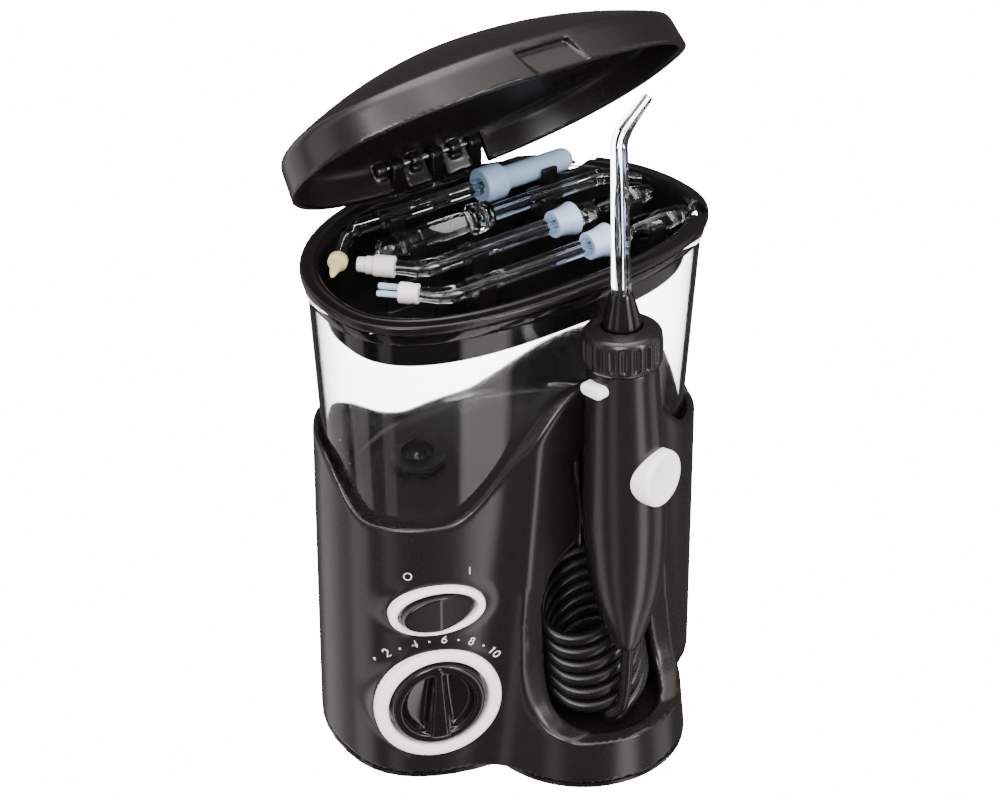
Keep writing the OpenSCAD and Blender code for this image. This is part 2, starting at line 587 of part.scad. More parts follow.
// Flared identification ring on a tip's shoulder
module id_ring() translate([stub_x - 8, 0, 0]) rotate([0, 90, 0]) difference() {
    cylinder(r1 = 4.2, r2 = 5.2, h = 7.6);
    translate([0, 0, -1]) cylinder(r = tube_r + 0.01, h = 12);
}
module head_at(head_dir, length) translate([stub_x - length, 0, 0]) rotate([0, 0, 180 - head_dir * 46])
    rotate([0, 90, 0]) children();

module brush_tip() color([0.9, 0.93, 0.95, 0.4]) tip_at(brush_y) tip_body(1, 14, 56);
module brush_tip_ring() color([0.68, 0.76, 0.92]) tip_at(brush_y) id_ring();
module brush_tip_head() color("white") tip_at(brush_y) head_at(1, 56) difference() {
    union() {
        translate([0, 0, 9]) cylinder(r = 3.3, h = 7);
        translate([0, 0, 16]) cylinder(r1 = 3, r2 = 2.2, h = 4.5);
    }
    translate([0, 0, 8]) cylinder(r = 2.1, h = 6.1);
}
module plaque_tip() color([0.9, 0.93, 0.95, 0.4]) tip_at(plaque_y) tip_body(1, 14, 60);
module plaque_tip_ring() color([0.68, 0.76, 0.92]) tip_at(plaque_y) id_ring();
module plaque_tip_head() color("white") tip_at(plaque_y) head_at(1, 60) difference() {
    union() {
        translate([0, 0, 8.5]) cylinder(r = 3.2, h = 6);
        // three bristle tufts
        for (a = [90:120:330]) rotate([0, 0, a]) translate([1.5, 0, 14]) cylinder(r = 0.9, h = 7);
    }
    translate([0, 0, 8]) cylinder(r = 2.15, h = 6.1);
}
module pocket_at() translate([-37, pocket_y, tip_z + 1.2]) children();
module pocket_tip() color([0.9, 0.93, 0.95, 0.4]) pocket_at() {
    rotate([0, 90, 0]) cylinder(r = tube_r, h = 56);
    sphere(r = tube_r);
    rotate([0, 0, 226]) rotate([0, 90, 0]) cylinder(r1 = tube_r, r2 = 2, h = 19);
}
module pocket_tip_nozzle() color([0.8, 0.76, 0.52]) pocket_at()
    rotate([0, 0, 226]) rotate([0, 90, 0]) translate([0, 0, 19.1]) {
        cylinder(r = 3, h = 3);
        translate([0, 0, 3]) cylinder(r1 = 2.1, r2 = 0.5, h = 8);
    }
module pocket_tip_sleeve() color([0.6, 0.68, 0.82]) pocket_at() translate([49, 0, 0]) rotate([0, 90, 0])
    difference() {
        union() {
            cylinder(r = 5.8, h = 9);
            translate([0, 0, 9]) cylinder(r = 3.8, h = 23);
            translate([0, 0, 32]) sphere(r = 3.8);
        }
        translate([0, 0, -1]) cylinder(r = tube_r + 0.02, h = 9.2);
    }
module jet_tip_spare() color([0.9, 0.93, 0.95, 0.4]) tip_at(spare_y) {
    rotate([0, 90, 0]) rotate_extrude() polygon([[0, -37.2], [2, -36.8], [3.2, -35], [stub_r, -33],
            [stub_r, -2], [5, -2],
        [5, 1], [3, 1], [3, 2.5], [4.5, 2.5], [4.5, 4.5], [tube_r, 5], [tube_r, 50], [0, 50]]);
    translate([49.8, 0, 0]) sphere(r = tube_r + 0.15);
    translate([50, 0, 0]) rotate([0, 0, -48]) rotate([0, 90, 0]) cylinder(r1 = tube_r - 0.1, r2 = 1.5,
            h = 13);
}

// ---------- wand ----------
// Outer radius of the wand body against distance from its lower end
wand_profile = [[1.2, 0], [3, 1.2], [5, 5], [6.6, 9], [9, 16], [10.6, 23], [12, 32], [12.9, 43], [13, 54],
    [12.7, 66], [12, 80], [11.3, 92], [10.8, wand_len]];
module wand_shell_half(start) difference() {
    rotate([0, 0, start]) rotate_extrude(angle = 180) difference() {
        polygon(concat([[0, 0]], wand_profile, [[0, wand_len]]));
        polygon(concat([[0, 3]], [for (p = wand_profile) if (p[1] > 4) [p[0] - 2, p[1]]], [[0,
                wand_len + 1]]));
    }
    pause_hole();
    eject_hole();
    translate([0, 0, -1]) cylinder(r = 2.6, h = 12);
}
pause_az = 15;
module pause_place() translate([0, 0, 67]) rotate([0, 0, pause_az]) rotate([90, 0, 0]) children();
module pause_hole() pause_place() translate([0, 0, 6]) cylinder(r = 9.3, h = 20);
module eject_place() translate([0, 0, 97.5]) rotate([0, 0, -84]) rotate([90, 0, 0]) children();
module pill(l, r, h) linear_extrude(h) union() {
    square([l - 2 * r, 2 * r], center = true);
    for (s = [-1, 1]) translate([s * (l / 2 - r), 0]) circle(r = r);
}
module eject_hole() eject_place() translate([0, 0, 4]) pill(9.2, 2.3, 20);

module wand_front_shell() color([0.1, 0.095, 0.09]) wand_place() wand_shell_half(180);
module wand_back_shell() color([0.1, 0.095, 0.09]) wand_place() wand_shell_half(0);
module wand_core() color([0.8, 0.8, 0.78]) wand_place() difference() {
    union() {
        translate([0, 0, 12]) cylinder(r = 3.2, h = 56);
        translate([0, 0, 66]) cylinder(r = 5.4, h = 35);
        translate([0, 0, 60]) cylinder(r = 4.2, h = 8);
    }
    translate([0, 0, 11]) cylinder(r = 1.6, h = 60);
    // seat of the pause spring
    pause_place() translate([0, 0, 3.1]) cylinder(r = 2.9, h = 8.4);
    translate([0, 0, 74]) cylinder(r = stub_r + 0.1, h = 40);
    translate([0, 0, 86]) rotate([0, 0, -84]) rotate([90, 0, 0]) translate([0, 7, 3.9])
            cylinder(r = 2.6, h = 10);
}
module pause_button() color([0.86, 0.87, 0.85]) wand_place() pause_place() difference() {
    union() {
        translate([0, 0, 7.6]) cylinder(r = 9, h = 5);
        translate([0, 0, 12.6]) cylinder(r1 = 9, r2 = 8.2, h = 2);
    }
    translate([0, 0, 44]) sphere(r = 30.2);
    translate([0, 0, 7]) ring(5.6, 3, 4);
}
module pause_spring() color("silver") wand_place() pause_place() translate([0, 0, 3.6])
    tube_path(helix(2.3, 1.1, 3, 12), 0.25, 6);
module eject_button() color([0.86, 0.87, 0.85]) wand_place() eject_place() translate([0, 0, 7.6])
        pill(8.7, 2.05, 6.3);

module collar_knob() color([0.1, 0.095, 0.09]) wand_place() translate([0, 0, wand_len + gap]) difference() {
    rotate_extrude() polygon([[3.6, 0], [10.9, 0], [11.6, 1.5], [12.2, 6.5], [12.2, 9.5], [11, 12],
            [9.5, 12.8], [3.6, 12.8]]);
    for (a = [0:18:342]) rotate([0, 0, a]) translate([13, 0, 4]) cylinder(r = 1.5, h = 5.6);
}
module jet_tip() color([0.9, 0.93, 0.95, 0.5]) wand_place() {
    top = wand_len + gap + 12.9;
    translate([0, 0, 76]) cylinder(r = 3.4, h = top - 76);
    // shoulder cone above the collar
    translate([0, 0, top]) cylinder(r1 = 5.6, r2 = 3.2, h = 10);
    translate([0, 0, top + 10]) cylinder(r1 = 2.9, r2 = 2.5, h = 50.5);
    translate([0, 0, top + 60.5]) sphere(r = 2.5);
    translate([0, 0, top + 60.5]) rotate([0, 50, 0]) cylinder(r1 = 2.5, r2 = 1.4, h = 13);
}

// ---------- coiled hose ----------
hose_r = 2.1;
coil_turns = 6.8;
// A point of the slumped coil: u runs from 0 at the bottom to 1 at the top, a is the angle in plan
function coil_at(u, a) = let (depth = 13.5 - 1.9 * u)
    [lobe_x + 16.2 * cos(a), -40 + 7.6 * u + depth * sin(a), 25 + 32 * u + 0.55 * depth * sin(a)];
// The hose enters at the back of the well, winds down and rises from the bottom turn to the wand's end
module coiled_hose() color([0.05, 0.05, 0.05]) {
    steps = 136;
    coil = [for (i = [0:steps]) coil_at(1 - i / steps, 135 - i * (coil_turns * 360 + 135 - 288) / steps)];
    last = coil[steps];
    ahead = last + 14 * unit(last - coil[steps - 1]);
    lead_in = bend3(hose_in + [2.2, -1.3, 0], hose_in + [5, -2.6, 0.4], coil[1], 5);
    tail = concat(bend3(last, ahead, [11, -58.5, 23], 7), bend3([9.5, -58.6, 24], [4, -58.6, 28],
            [lobe_x, -55.2, 43.6], 7));
    tube_path(concat([hose_in], lead_in, [for (i = [2:steps]) coil[i]], [for (i = [1:len(tail) - 1])
            tail[i]]), hose_r, 8);
}

base_housing();
base_plate();
non_slip_pad();
plate_screws();
recess_liner();
wand_cradle();
dial_bezel();
switch_bezel();
switch_module();
control_valve_body();
dial_knob();
rocker();
gearbox_frame();
motor_can();
motor_end_cap();
motor_rotor();
drive_pinion();
crank_gear();
gear_axle();
connecting_rod();
wrist_pin();
pump_cylinder();
pump_piston();
piston_seal();
valve_block();
inlet_ball();
outlet_ball();
outlet_spring();
suction_tube();
pressure_tube();
hose_feed_tube();
wiring_loom();
cord_grommet();
power_cord();
socket_seal();
tank();
tank_valve_body();
tank_valve_poppet();
tip_tray();
hinge_pin();
lid();
pocket_tip();
pocket_tip_nozzle();
pocket_tip_sleeve();
jet_tip_spare();
brush_tip();
brush_tip_ring();
brush_tip_head();
plaque_tip();
plaque_tip_ring();
plaque_tip_head();
wand_front_shell();
wand_back_shell();
wand_core();
pause_button();
pause_spring();
eject_button();
collar_knob();
jet_tip();
coiled_hose();
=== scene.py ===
import bmesh
import bpy
import json
import math
import numpy as np
from mathutils import Matrix, Vector


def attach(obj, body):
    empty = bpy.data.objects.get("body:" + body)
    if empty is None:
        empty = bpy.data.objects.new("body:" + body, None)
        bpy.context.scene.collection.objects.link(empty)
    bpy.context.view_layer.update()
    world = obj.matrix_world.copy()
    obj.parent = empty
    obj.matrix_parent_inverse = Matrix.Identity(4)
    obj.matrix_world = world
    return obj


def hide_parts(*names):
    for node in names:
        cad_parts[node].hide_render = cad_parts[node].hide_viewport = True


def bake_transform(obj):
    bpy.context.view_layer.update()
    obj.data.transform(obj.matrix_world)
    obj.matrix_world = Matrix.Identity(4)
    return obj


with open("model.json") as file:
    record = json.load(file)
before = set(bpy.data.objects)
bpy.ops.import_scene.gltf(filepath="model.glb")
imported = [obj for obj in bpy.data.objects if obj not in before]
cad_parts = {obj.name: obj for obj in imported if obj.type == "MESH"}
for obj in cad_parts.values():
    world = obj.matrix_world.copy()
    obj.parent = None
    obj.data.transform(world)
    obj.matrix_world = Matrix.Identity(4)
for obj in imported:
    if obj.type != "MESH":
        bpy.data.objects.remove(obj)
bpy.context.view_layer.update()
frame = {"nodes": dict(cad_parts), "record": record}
NODE = frame["nodes"]
MM = 0.001


# ---------------------------------------------------------------- materials
def shader(name, color, rough=0.4, coat=0.0, metal=0.0, speck=0.02, bump=0.05, scale=900.0,
           trans=0.0, ior=1.49, spec=0.5):
    """A moulded or metal surface: slow colour drift, fine grain in colour and roughness, and a grain bump."""
    m = bpy.data.materials.new(name)
    m.use_nodes = True
    nt = m.node_tree
    nt.nodes.clear()
    new, link = nt.nodes.new, nt.links.new
    out = new("ShaderNodeOutputMaterial")
    bsdf = new("ShaderNodeBsdfPrincipled")
    coord = new("ShaderNodeTexCoord")
    fine = new("ShaderNodeTexNoise")
    fine.inputs["Scale"].default_value = scale
    fine.inputs["Detail"].default_value = 4
    drift = new("ShaderNodeTexNoise")
    drift.inputs["Scale"].default_value = 14
    drift.inputs["Detail"].default_value = 2
    link(coord.outputs["Object"], fine.inputs["Vector"])
    link(coord.outputs["Object"], drift.inputs["Vector"])
    ramp = new("ShaderNodeMix")
    ramp.data_type = "RGBA"
    low = [c * (1 - speck * 2.5) for c in color]
    high = [min(1, c * (1 + speck * 2.5)) for c in color]
    ramp.inputs[6].default_value = (*low, 1)
    ramp.inputs[7].default_value = (*high, 1)
    mixer = new("ShaderNodeMath")
    mixer.operation = "MULTIPLY_ADD"
    mixer.inputs[1].default_value = 0.5
    link(drift.outputs["Fac"], mixer.inputs[0])
    half = new("ShaderNodeMath")
    half.operation = "MULTIPLY"
    half.inputs[1].default_value = 0.5
    link(fine.outputs["Fac"], half.inputs[0])
    link(half.outputs[0], mixer.inputs[2])
    link(mixer.outputs[0], ramp.inputs["Factor"])
    link(ramp.outputs[2], bsdf.inputs["Base Color"])
    rmap = new("ShaderNodeMapRange")
    rmap.inputs["To Min"].default_value = max(0.0, rough - 0.05)
    rmap.inputs["To Max"].default_value = rough + 0.05
    link(mixer.outputs[0], rmap.inputs["Value"])
    link(rmap.outputs[0], bsdf.inputs["Roughness"])
    if bump:
        b = new("ShaderNodeBump")
        b.inputs["Strength"].default_value = bump
        b.inputs["Distance"].default_value = 0.0002
        link(fine.outputs["Fac"], b.inputs["Height"])
        link(b.outputs["Normal"], bsdf.inputs["Normal"])
    bsdf.inputs["Metallic"].default_value = metal
    bsdf.inputs["IOR"].default_value = ior
    bsdf.inputs["Specular IOR Level"].default_value = spec
    bsdf.inputs["Coat Weight"].default_value = coat
    bsdf.inputs["Coat Roughness"].default_value = 0.08
    bsdf.inputs["Transmission Weight"].default_value = trans
    surface = bsdf
    if trans > 0:
        # light passes clear plastic without casting a black shadow
        path = new("ShaderNodeLightPath")
        clear = new("ShaderNodeBsdfTransparent")
        clear.inputs["Color"].default_value = (*[0.45 + 0.5 * c for c in color], 1)
        mix = new("ShaderNodeMixShader")
        link(path.outputs["Is Shadow Ray"], mix.inputs[0])
        link(bsdf.outputs[0], mix.inputs[1])
        link(clear.outputs[0], mix.inputs[2])
        surface = mix
    link(surface.outputs[0], out.inputs["Surface"])
    return m


MAT = {
    "housing": shader("satin_black", (0.0080, 0.0071, 0.0065), rough=0.26, speck=0.03, bump=0.012, scale=1400,
                      spec=0.5),
    "gloss_black": shader("gloss_black", (0.006, 0.0056, 0.0053), rough=0.13, coat=0.25, bump=0.01, spec=0.4),
    "black_part": shader("moulded_black", (0.0055, 0.0052, 0.005), rough=0.22, bump=0.02, scale=1200, spec=0.34),
    "black_rubber": shader("soft_black", (0.017, 0.016, 0.016), rough=0.42, bump=0.10, scale=1600),
    "hose": shader("hose_black", (0.006, 0.0057, 0.0055), rough=0.27, spec=0.4, bump=0.03, scale=1500),
    "light_trim": shader("off_white", (0.90, 0.90, 0.85), rough=0.28, coat=0.3, speck=0.015, bump=0.02),
    "button": shader("button_grey", (0.90, 0.91, 0.91), rough=0.3, coat=0.2, speck=0.015, bump=0.02),
    "natural_plastic": shader("natural_plastic", (0.62, 0.62, 0.58), rough=0.45, speck=0.03, bump=0.08),
    "glass_filled": shader("glass_filled", (0.07, 0.075, 0.085), rough=0.5, speck=0.15, bump=0.2, scale=2000),
    "steel": shader("steel", (0.58, 0.58, 0.60), rough=0.25, metal=1.0, speck=0.03, bump=0.05, scale=2500),
    "brass": shader("brass", (0.75, 0.55, 0.25), rough=0.28, metal=1.0, speck=0.04, bump=0.05, scale=2500),
    "copper_winding": shader("winding", (0.42, 0.2, 0.1), rough=0.4, metal=0.6, speck=0.1, bump=0.3, scale=1500),
    "tubing": shader("tubing", (0.78, 0.82, 0.82), rough=0.25, trans=0.6, ior=1.42, bump=0.02),
    "wire": shader("wire", (0.5, 0.05, 0.04), rough=0.4, bump=0.05),
    "clear": shader("clear_plastic", (0.97, 0.975, 0.98), rough=0.03, trans=1.0, ior=1.45, speck=0.0, bump=0.004),
    "clear_tip": shader("clear_tip", (0.93, 0.95, 0.97), rough=0.02, trans=1.0, ior=1.45, speck=0.0, bump=0.002),
    "ring_blue": shader("ring_blue", (0.42, 0.54, 0.80), rough=0.3, speck=0.03, bump=0.03),
    "sleeve_blue": shader("sleeve_blue", (0.30, 0.42, 0.62), rough=0.3, speck=0.04, bump=0.03),
    "sleeve_clear": shader("pale_tuft", (0.62, 0.74, 0.90), rough=0.25, trans=0.5, bump=0.1),
    "white_part": shader("white_part", (0.80, 0.80, 0.79), rough=0.4, speck=0.02, bump=0.05),
    "bristle": shader("bristle", (0.86, 0.87, 0.86), rough=0.5, speck=0.05, bump=0.2, scale=3000),
    "soft_nozzle": shader("ivory_rubber", (0.62, 0.55, 0.24), rough=0.42, speck=0.04, bump=0.06),
    "ink": shader("print_ink", (0.56, 0.56, 0.54), rough=0.45, speck=0.05, bump=0.03),
}


# ---------------------------------------------------------------- mesh helpers
def finish_mesh(name, verts, faces, material, angle=None):
    mesh = bpy.data.meshes.new(name)
    mesh.from_pydata([tuple(v) for v in np.asarray(verts, float) * MM], [],
                     [tuple(int(i) for i in f) for f in faces])
    mesh.validate()
    bm = bmesh.new()
    bm.from_mesh(mesh)
    bmesh.ops.recalc_face_normals(bm, faces=bm.faces)
    bm.to_mesh(mesh)
    bm.free()
    obj = bpy.data.objects.new(name, mesh)
    bpy.context.scene.collection.objects.link(obj)
    mesh.materials.append(MAT[material])
    mesh.polygons.foreach_set("use_smooth", [True] * len(mesh.polygons))
    if angle:
        mesh.set_sharp_from_angle(angle=math.radians(angle))
    return obj


def place(obj, body, *nodes, slot=None):
    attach(obj, body)
    if nodes:
        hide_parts(*nodes)
    return obj


def surface_nets(f, lo, hi, step):
    """Vertices and quads of f = 0, on a grid of the given step, then pulled onto the surface."""
    ax = [np.arange(lo[i], hi[i] + step * 0.5, step) for i in range(3)]
    v = f(*np.meshgrid(*ax, indexing="ij"))
    n = np.array(v.shape)
    inside = v < 0
    cell = tuple(slice(0, k - 1) for k in n)
    corner = {}
    for c in np.ndindex(2, 2, 2):
        corner[c] = tuple(slice(c[i], n[i] - 1 + c[i]) for i in range(3))
    count = sum(inside[corner[c]].astype(np.int8) for c in corner)
    active = (count > 0) & (count < 8)
    idx = -np.ones(active.shape, np.int64)
    idx[active] = np.arange(active.sum())
    base = np.argwhere(active).astype(float)
    acc = np.zeros((len(base), 3))
    num = np.zeros(len(base))
    for axis in range(3):
        for c in corner:
            if c[axis]:
                continue
            d = list(c)
            d[axis] = 1
            a, b = v[corner[c]][active], v[corner[tuple(d)]][active]
            cross = (a < 0) != (b < 0)
            t = np.where(cross, a / np.where(cross, a - b, 1), 0)
            p = np.array(c, float)[None, :].repeat(len(base), 0)
            p[:, axis] += t
            acc += np.where(cross[:, None], p, 0)
            num += cross
    verts = np.array(lo)[None, :] + (base + acc / num[:, None]) * step
    quads = []
    for axis in range(3):
        a, b = (axis + 1) % 3, (axis + 2) % 3
        s0 = [slice(1, n[i] - 1) for i in range(3)]
        s0[axis] = slice(0, n[axis] - 1)
        s1 = list(s0)
        s1[axis] = slice(1, n[axis])
        p, q = inside[tuple(s0)], inside[tuple(s1)]
        edges = np.argwhere(p != q)
        flip = p[tuple(edges.T)]
        start = np.array([s.start for s in s0])
        e = edges + start
        ring = []
        for da, db in ((-1, -1), (0, -1), (0, 0), (-1, 0)):
            k = e.copy()
            k[:, a] += da
            k[:, b] += db
            ring.append(idx[tuple(k.T)])
        ring = np.array(ring).T
        ring[~flip] = ring[~flip][:, ::-1]
        quads.append(ring)
    quads = np.concatenate(quads)
    eps = 0.02
    for _ in range(3):
        d = f(*verts.T)
        g = np.stack([(f(*(verts + eps * np.eye(3)[i]).T) - f(*(verts - eps * np.eye(3)[i]).T)) / (2 * eps)
                      for i in range(3)], 1)
        g2 = (g * g).sum(1)
        move = -(d / np.maximum(g2, 0.05))[:, None] * g
        size = np.linalg.norm(move, axis=1, keepdims=True)
        verts = verts + move * np.minimum(1, 0.35 * step / np.maximum(size, 1e-9))
    return verts, quads


def solid(name, f, lo, hi, step, material, transform=None):
    verts, quads = surface_nets(f, lo, hi, step)
    if transform is not None:
        m = np.array(transform)
        verts = verts @ m[:3, :3].T + m[:3, 3]
    return finish_mesh(name, verts, quads, material)


def smin(a, b, k):
    h = np.clip(0.5 + 0.5 * (b - a) / k, 0, 1)
    return b + (a - b) * h - k * h * (1 - h)


def smax(a, b, k):
    return -smin(-a, -b, k)


def rail(v, lo, hi):
    t = np.clip((v - lo) / (hi - lo), 0, 1)
    return t * t * (3 - 2 * t)


def box_d(x, y, z, c, h, r=0.0):
    q = [np.abs(x - c[0]) - h[0] + r, np.abs(y - c[1]) - h[1] + r, np.abs(z - c[2]) - h[2] + r]
    out = np.sqrt(sum(np.maximum(k, 0) ** 2 for k in q))
    return out + np.minimum(np.maximum(np.maximum(q[0], q[1]), q[2]), 0) - r


def oval_d(x, y, a, f, b):
    """Roughly the distance outside the object's oval plan: half width a, front depth f, back depth b."""
    n = np.where(y < 0, 2.5, 2.1)
    s = np.where(y < 0, f, b)
    g = (np.abs(x / a) ** n + np.abs(y / s) ** n) ** (1 / n)
    r = np.sqrt(x * x + y * y)
    return r * (1 - 1 / np.maximum(g, 0.02))


def lathe(name, profile, material, segments=96, closed=False, matrix=None, angle=40):
    """Turns (radius, height) points about Z. Points with radius 0 close the ends."""
    verts, faces, rows = [], [], []
    for r, z in profile:
        if r < 1e-6:
            rows.append([len(verts)] * segments)
            verts.append((0, 0, z))
        else:
            rows.append(list(range(len(verts), len(verts) + segments)))
            for k in range(segments):
                t = 2 * math.pi * k / segments
                verts.append((r * math.cos(t), r * math.sin(t), z))
    pairs = list(zip(rows, rows[1:])) + ([(rows[-1], rows[0])] if closed else [])
    for p, q in pairs:
        for k in range(segments):
            j = (k + 1) % segments
            face = [p[k], p[j], q[j], q[k]]
            face = [v for i, v in enumerate(face) if v not in face[:i]]
            if len(face) > 2:
                faces.append(face)
    verts = np.array(verts, float)
    if matrix is not None:
        m = np.array(matrix)
        verts = verts @ m[:3, :3].T + m[:3, 3]
    return finish_mesh(name, verts, faces, material, angle=angle)


def sweep_verts(path, radii, sides=20):
    """Rings of a round tube along a path, turned as little as possible from ring to ring."""
    p = np.asarray(path, float)
    t = np.gradient(p, axis=0)
    t /= np.linalg.norm(t, axis=1, keepdims=True)
    u = np.cross(t[0], (0.31, 0.52, 0.79))
    u /= np.linalg.norm(u)
    verts = []
    for i in range(len(p)):
        u = u - t[i] * (u @ t[i])
        u /= np.linalg.norm(u)
        v = np.cross(t[i], u)
        a = 2 * np.pi * np.arange(sides) / sides
        verts.append(p[i] + radii[i] * (np.cos(a)[:, None] * u + np.sin(a)[:, None] * v))
    return np.concatenate(verts)


def tube(name, path, radius, material, sides=20, bore=None, angle=40):
    """A round tube with closed ends, or a hollow one when bore is given."""
    n = len(path)
    radii = np.full(n, radius, float) if np.isscalar(radius) else np.asarray(radius, float)
    verts = sweep_verts(path, radii, sides)
    faces = [[i * sides + k, i * sides + (k + 1) % sides, (i + 1) * sides + (k + 1) % sides, (i + 1) * sides + k]
             for i in range(n - 1) for k in range(sides)]
    if bore is None:
        faces += [list(range(sides))[::-1], list(range((n - 1) * sides, n * sides))]
    else:
        inner = sweep_verts(path, np.full(n, bore, float), sides)
        base = len(verts)
        verts = np.concatenate([verts, inner])
        faces += [[base + f for f in face[::-1]] for face in faces]
        for row in (0, (n - 1) * sides):
            faces += [[row + k, row + (k + 1) % sides, base + row + (k + 1) % sides, base + row + k]
                      for k in range(sides)]
    return finish_mesh(name, verts, faces, material, angle=angle)


def spline(points, n=12):
    """A smooth curve through the given points."""
    p = np.asarray(points, float)
    p = np.vstack([2 * p[0] - p[1], p, 2 * p[-1] - p[-2]])
    out = []
    for i in range(1, len(p) - 2):
        for k in range(n):
            t = k / n
            a, b, c, d = p[i - 1:i + 3]
            out.append(0.5 * (2 * b + (c - a) * t + (2 * a - 5 * b + 4 * c - d) * t * t
                              + (3 * b - a - 3 * c + d) * t ** 3))
    out.append(p[-2])
    return np.array(out)


# ---------------------------------------------------------------- base housing
PANEL_AZ = math.radians(22)
PANEL_N = (-math.sin(PANEL_AZ), -math.cos(PANEL_AZ))
PANEL_U = (math.cos(PANEL_AZ), -math.sin(PANEL_AZ))
PANEL_AT = (-49.5, -27.5)      # the vertical line through the dial and the switch
DIAL_Z, SWITCH_Z = 31.0, 67.0
LOBE_X, LOBE_Y = 4.0, -32.5
WALL = 2.8
FRONT_EXTRA = 4.0              # more wall round the recess
DECK = 82.0


def panel_uw(x, y):
    """Distances along and out of the control panel."""
    x, y = x - PANEL_AT[0], y - PANEL_AT[1]
    return x * PANEL_U[0] + y * PANEL_U[1], x * PANEL_N[0] + y * PANEL_N[1]


def body_outer(x, y, z):
    t = (z - 3) / 131
    oval = oval_d(x, y, 67 - 1.2 * t, 36 - 2 * t, 54.3 - 1.3 * t)
    lobe = np.sqrt((x - LOBE_X) ** 2 + (y - LOBE_Y) ** 2) - (34 - 13.5 * t)
    d = smin(oval, lobe, 13)
    # flat seats behind the dial and the switch
    u, w = panel_uw(x, y)
    for cz, rx, rz in ((DIAL_Z, 20.8, 20.8), (SWITCH_Z, 15.8, 9.5)):
        k = np.sqrt((u / rx) ** 2 + ((z - cz) / rz) ** 2)
        seat = smax((k - 1) * min(rx, rz), np.abs(w + 10) - 7.8, 1.0)
        d = smin(d, seat, 3.5)
    return d


def rim_height(x, y):
    front = 96.5 + 37.5 * rail(-np.abs(x - LOBE_X), -51, -6)
    side = 96.5 + 14.5 * rail(y, -12, 12)
    back = 84 + 27 * rail(np.abs(x - 5), 8, 62)
    return np.where(y < -12, front, np.where(y < 12, side, back))


# depth and height along the middle of the recess, from its floor up its back
RECESS = spline([(-90, 17.5), (-60, 17.8), (-55, 18.8), (-49, 21.5), (-44, 27), (-41, 36),
                 (-39.5, 50), (-38.6, 75), (-37.6, 145)], 8)


def recess_d(x, y, z):
    """Negative in the open scoop in front of the wand."""
    ys = np.array([p[0] for p in RECESS])
    zs = np.array([p[1] for p in RECESS])
    floor = np.interp(y, ys, zs)
    wall = np.interp(z, zs, ys)
    low = np.maximum((floor - z) * 0.55, (y - wall) * 0.8)
    return low + ((y - wall) - low) * np.clip((z - 50) / 20, 0, 1)


def well_d(x, y, z):
    """Negative in the upright well that holds the hose."""
    up = np.maximum(z - 57.5, 0)
    side = np.sqrt((x - LOBE_X) ** 2 + (y + 38.6) ** 2 + (0.95 * up) ** 2) - 21.2
    return smax(side, 13 - z, 4)


def housing_solid(x, y, z):
    d = body_outer(x, y, z)
    draft = 0.03 * (110 - z)
    socket = smax(oval_d(x, y, 64.2 - draft, 32.0 - draft, 51.2 - draft), DECK - z, 2)
    d = smax(d, -socket, 1.2)
    d = smax(d, (z - rim_height(x, y)) * 0.75, 1.2)
    d = smax(d, -recess_d(x, y, z), 2.0)
    return smax(d, -well_d(x, y, z), 2.5)


def housing_shell(x, y, z):
    d = housing_solid(x, y, z)
    solid_front = rail(-y, 14, 24) * (1 - rail(np.abs(x - LOBE_X), 34, 46))
    d = smax(d, -(d + WALL + FRONT_EXTRA * solid_front), 0.3)
    d = np.maximum(d, 3.0 - z)
    # holes for the dial, the switch, the tank valve and the cord
    u, w = panel_uw(x, y)
    for cz, rx, rz in ((DIAL_Z, 17.8, 17.8), (SWITCH_Z, 13.2, 7.2)):
        hole = (np.sqrt((u / rx) ** 2 + ((z - cz) / rz) ** 2) - 1) * min(rx, rz)
        d = np.maximum(d, -np.maximum(hole, -(w + 14)))
    d = np.maximum(d, -np.maximum(np.sqrt((x + 20) ** 2 + (y - 25) ** 2) - 8.5, 70 - z))
    return np.maximum(d, -np.maximum(np.sqrt((x - 30) ** 2 + (z - 10) ** 2) - 4.1, 30 - y))


def panel_matrix(z):
    """Local X runs right along the panel, local Y up, local Z out of it."""
    return Matrix(((PANEL_U[0], 0, PANEL_N[0], PANEL_AT[0]), (PANEL_U[1], 0, PANEL_N[1], PANEL_AT[1]),
                   (0, 1, 0, z), (0, 0, 0, 1)))


STEP = 1.0
housing = solid("base_shell", housing_shell, (-70, -70, 1.5), (70, 58, 138), STEP, "housing")
place(housing, "base", "base_housing", "recess_liner", slot="housing")

# ---------------------------------------------------------------- tank, tray and lid
def oval_ring(a, f, b, z, n=192):
    t = 2 * np.pi * np.arange(n) / n
    c, s = np.cos(t), np.sin(t)
    e = 2 / np.where(s < -1e-9, 2.5, 2.1)
    x = a * np.sign(c) * np.abs(c) ** e
    y = np.where(s < 0, f, b) * np.sign(s) * np.abs(s) ** e
    return np.stack([x, y, np.full(n, z)], 1)


def ringed(name, rings, material, angle=35):
    """Skins rings that run from the outer bottom round to the inner one; both ends are capped flat."""
    n = len(rings[0])
    verts = np.concatenate(rings)
    faces = [[i * n + k, i * n + (k + 1) % n, (i + 1) * n + (k + 1) % n, (i + 1) * n + k]
             for i in range(len(rings) - 1) for k in range(n)]
    faces += [list(range(n))[::-1], list(range((len(rings) - 1) * n, len(rings) * n))]
    return finish_mesh(name, verts, faces, material, angle=angle)


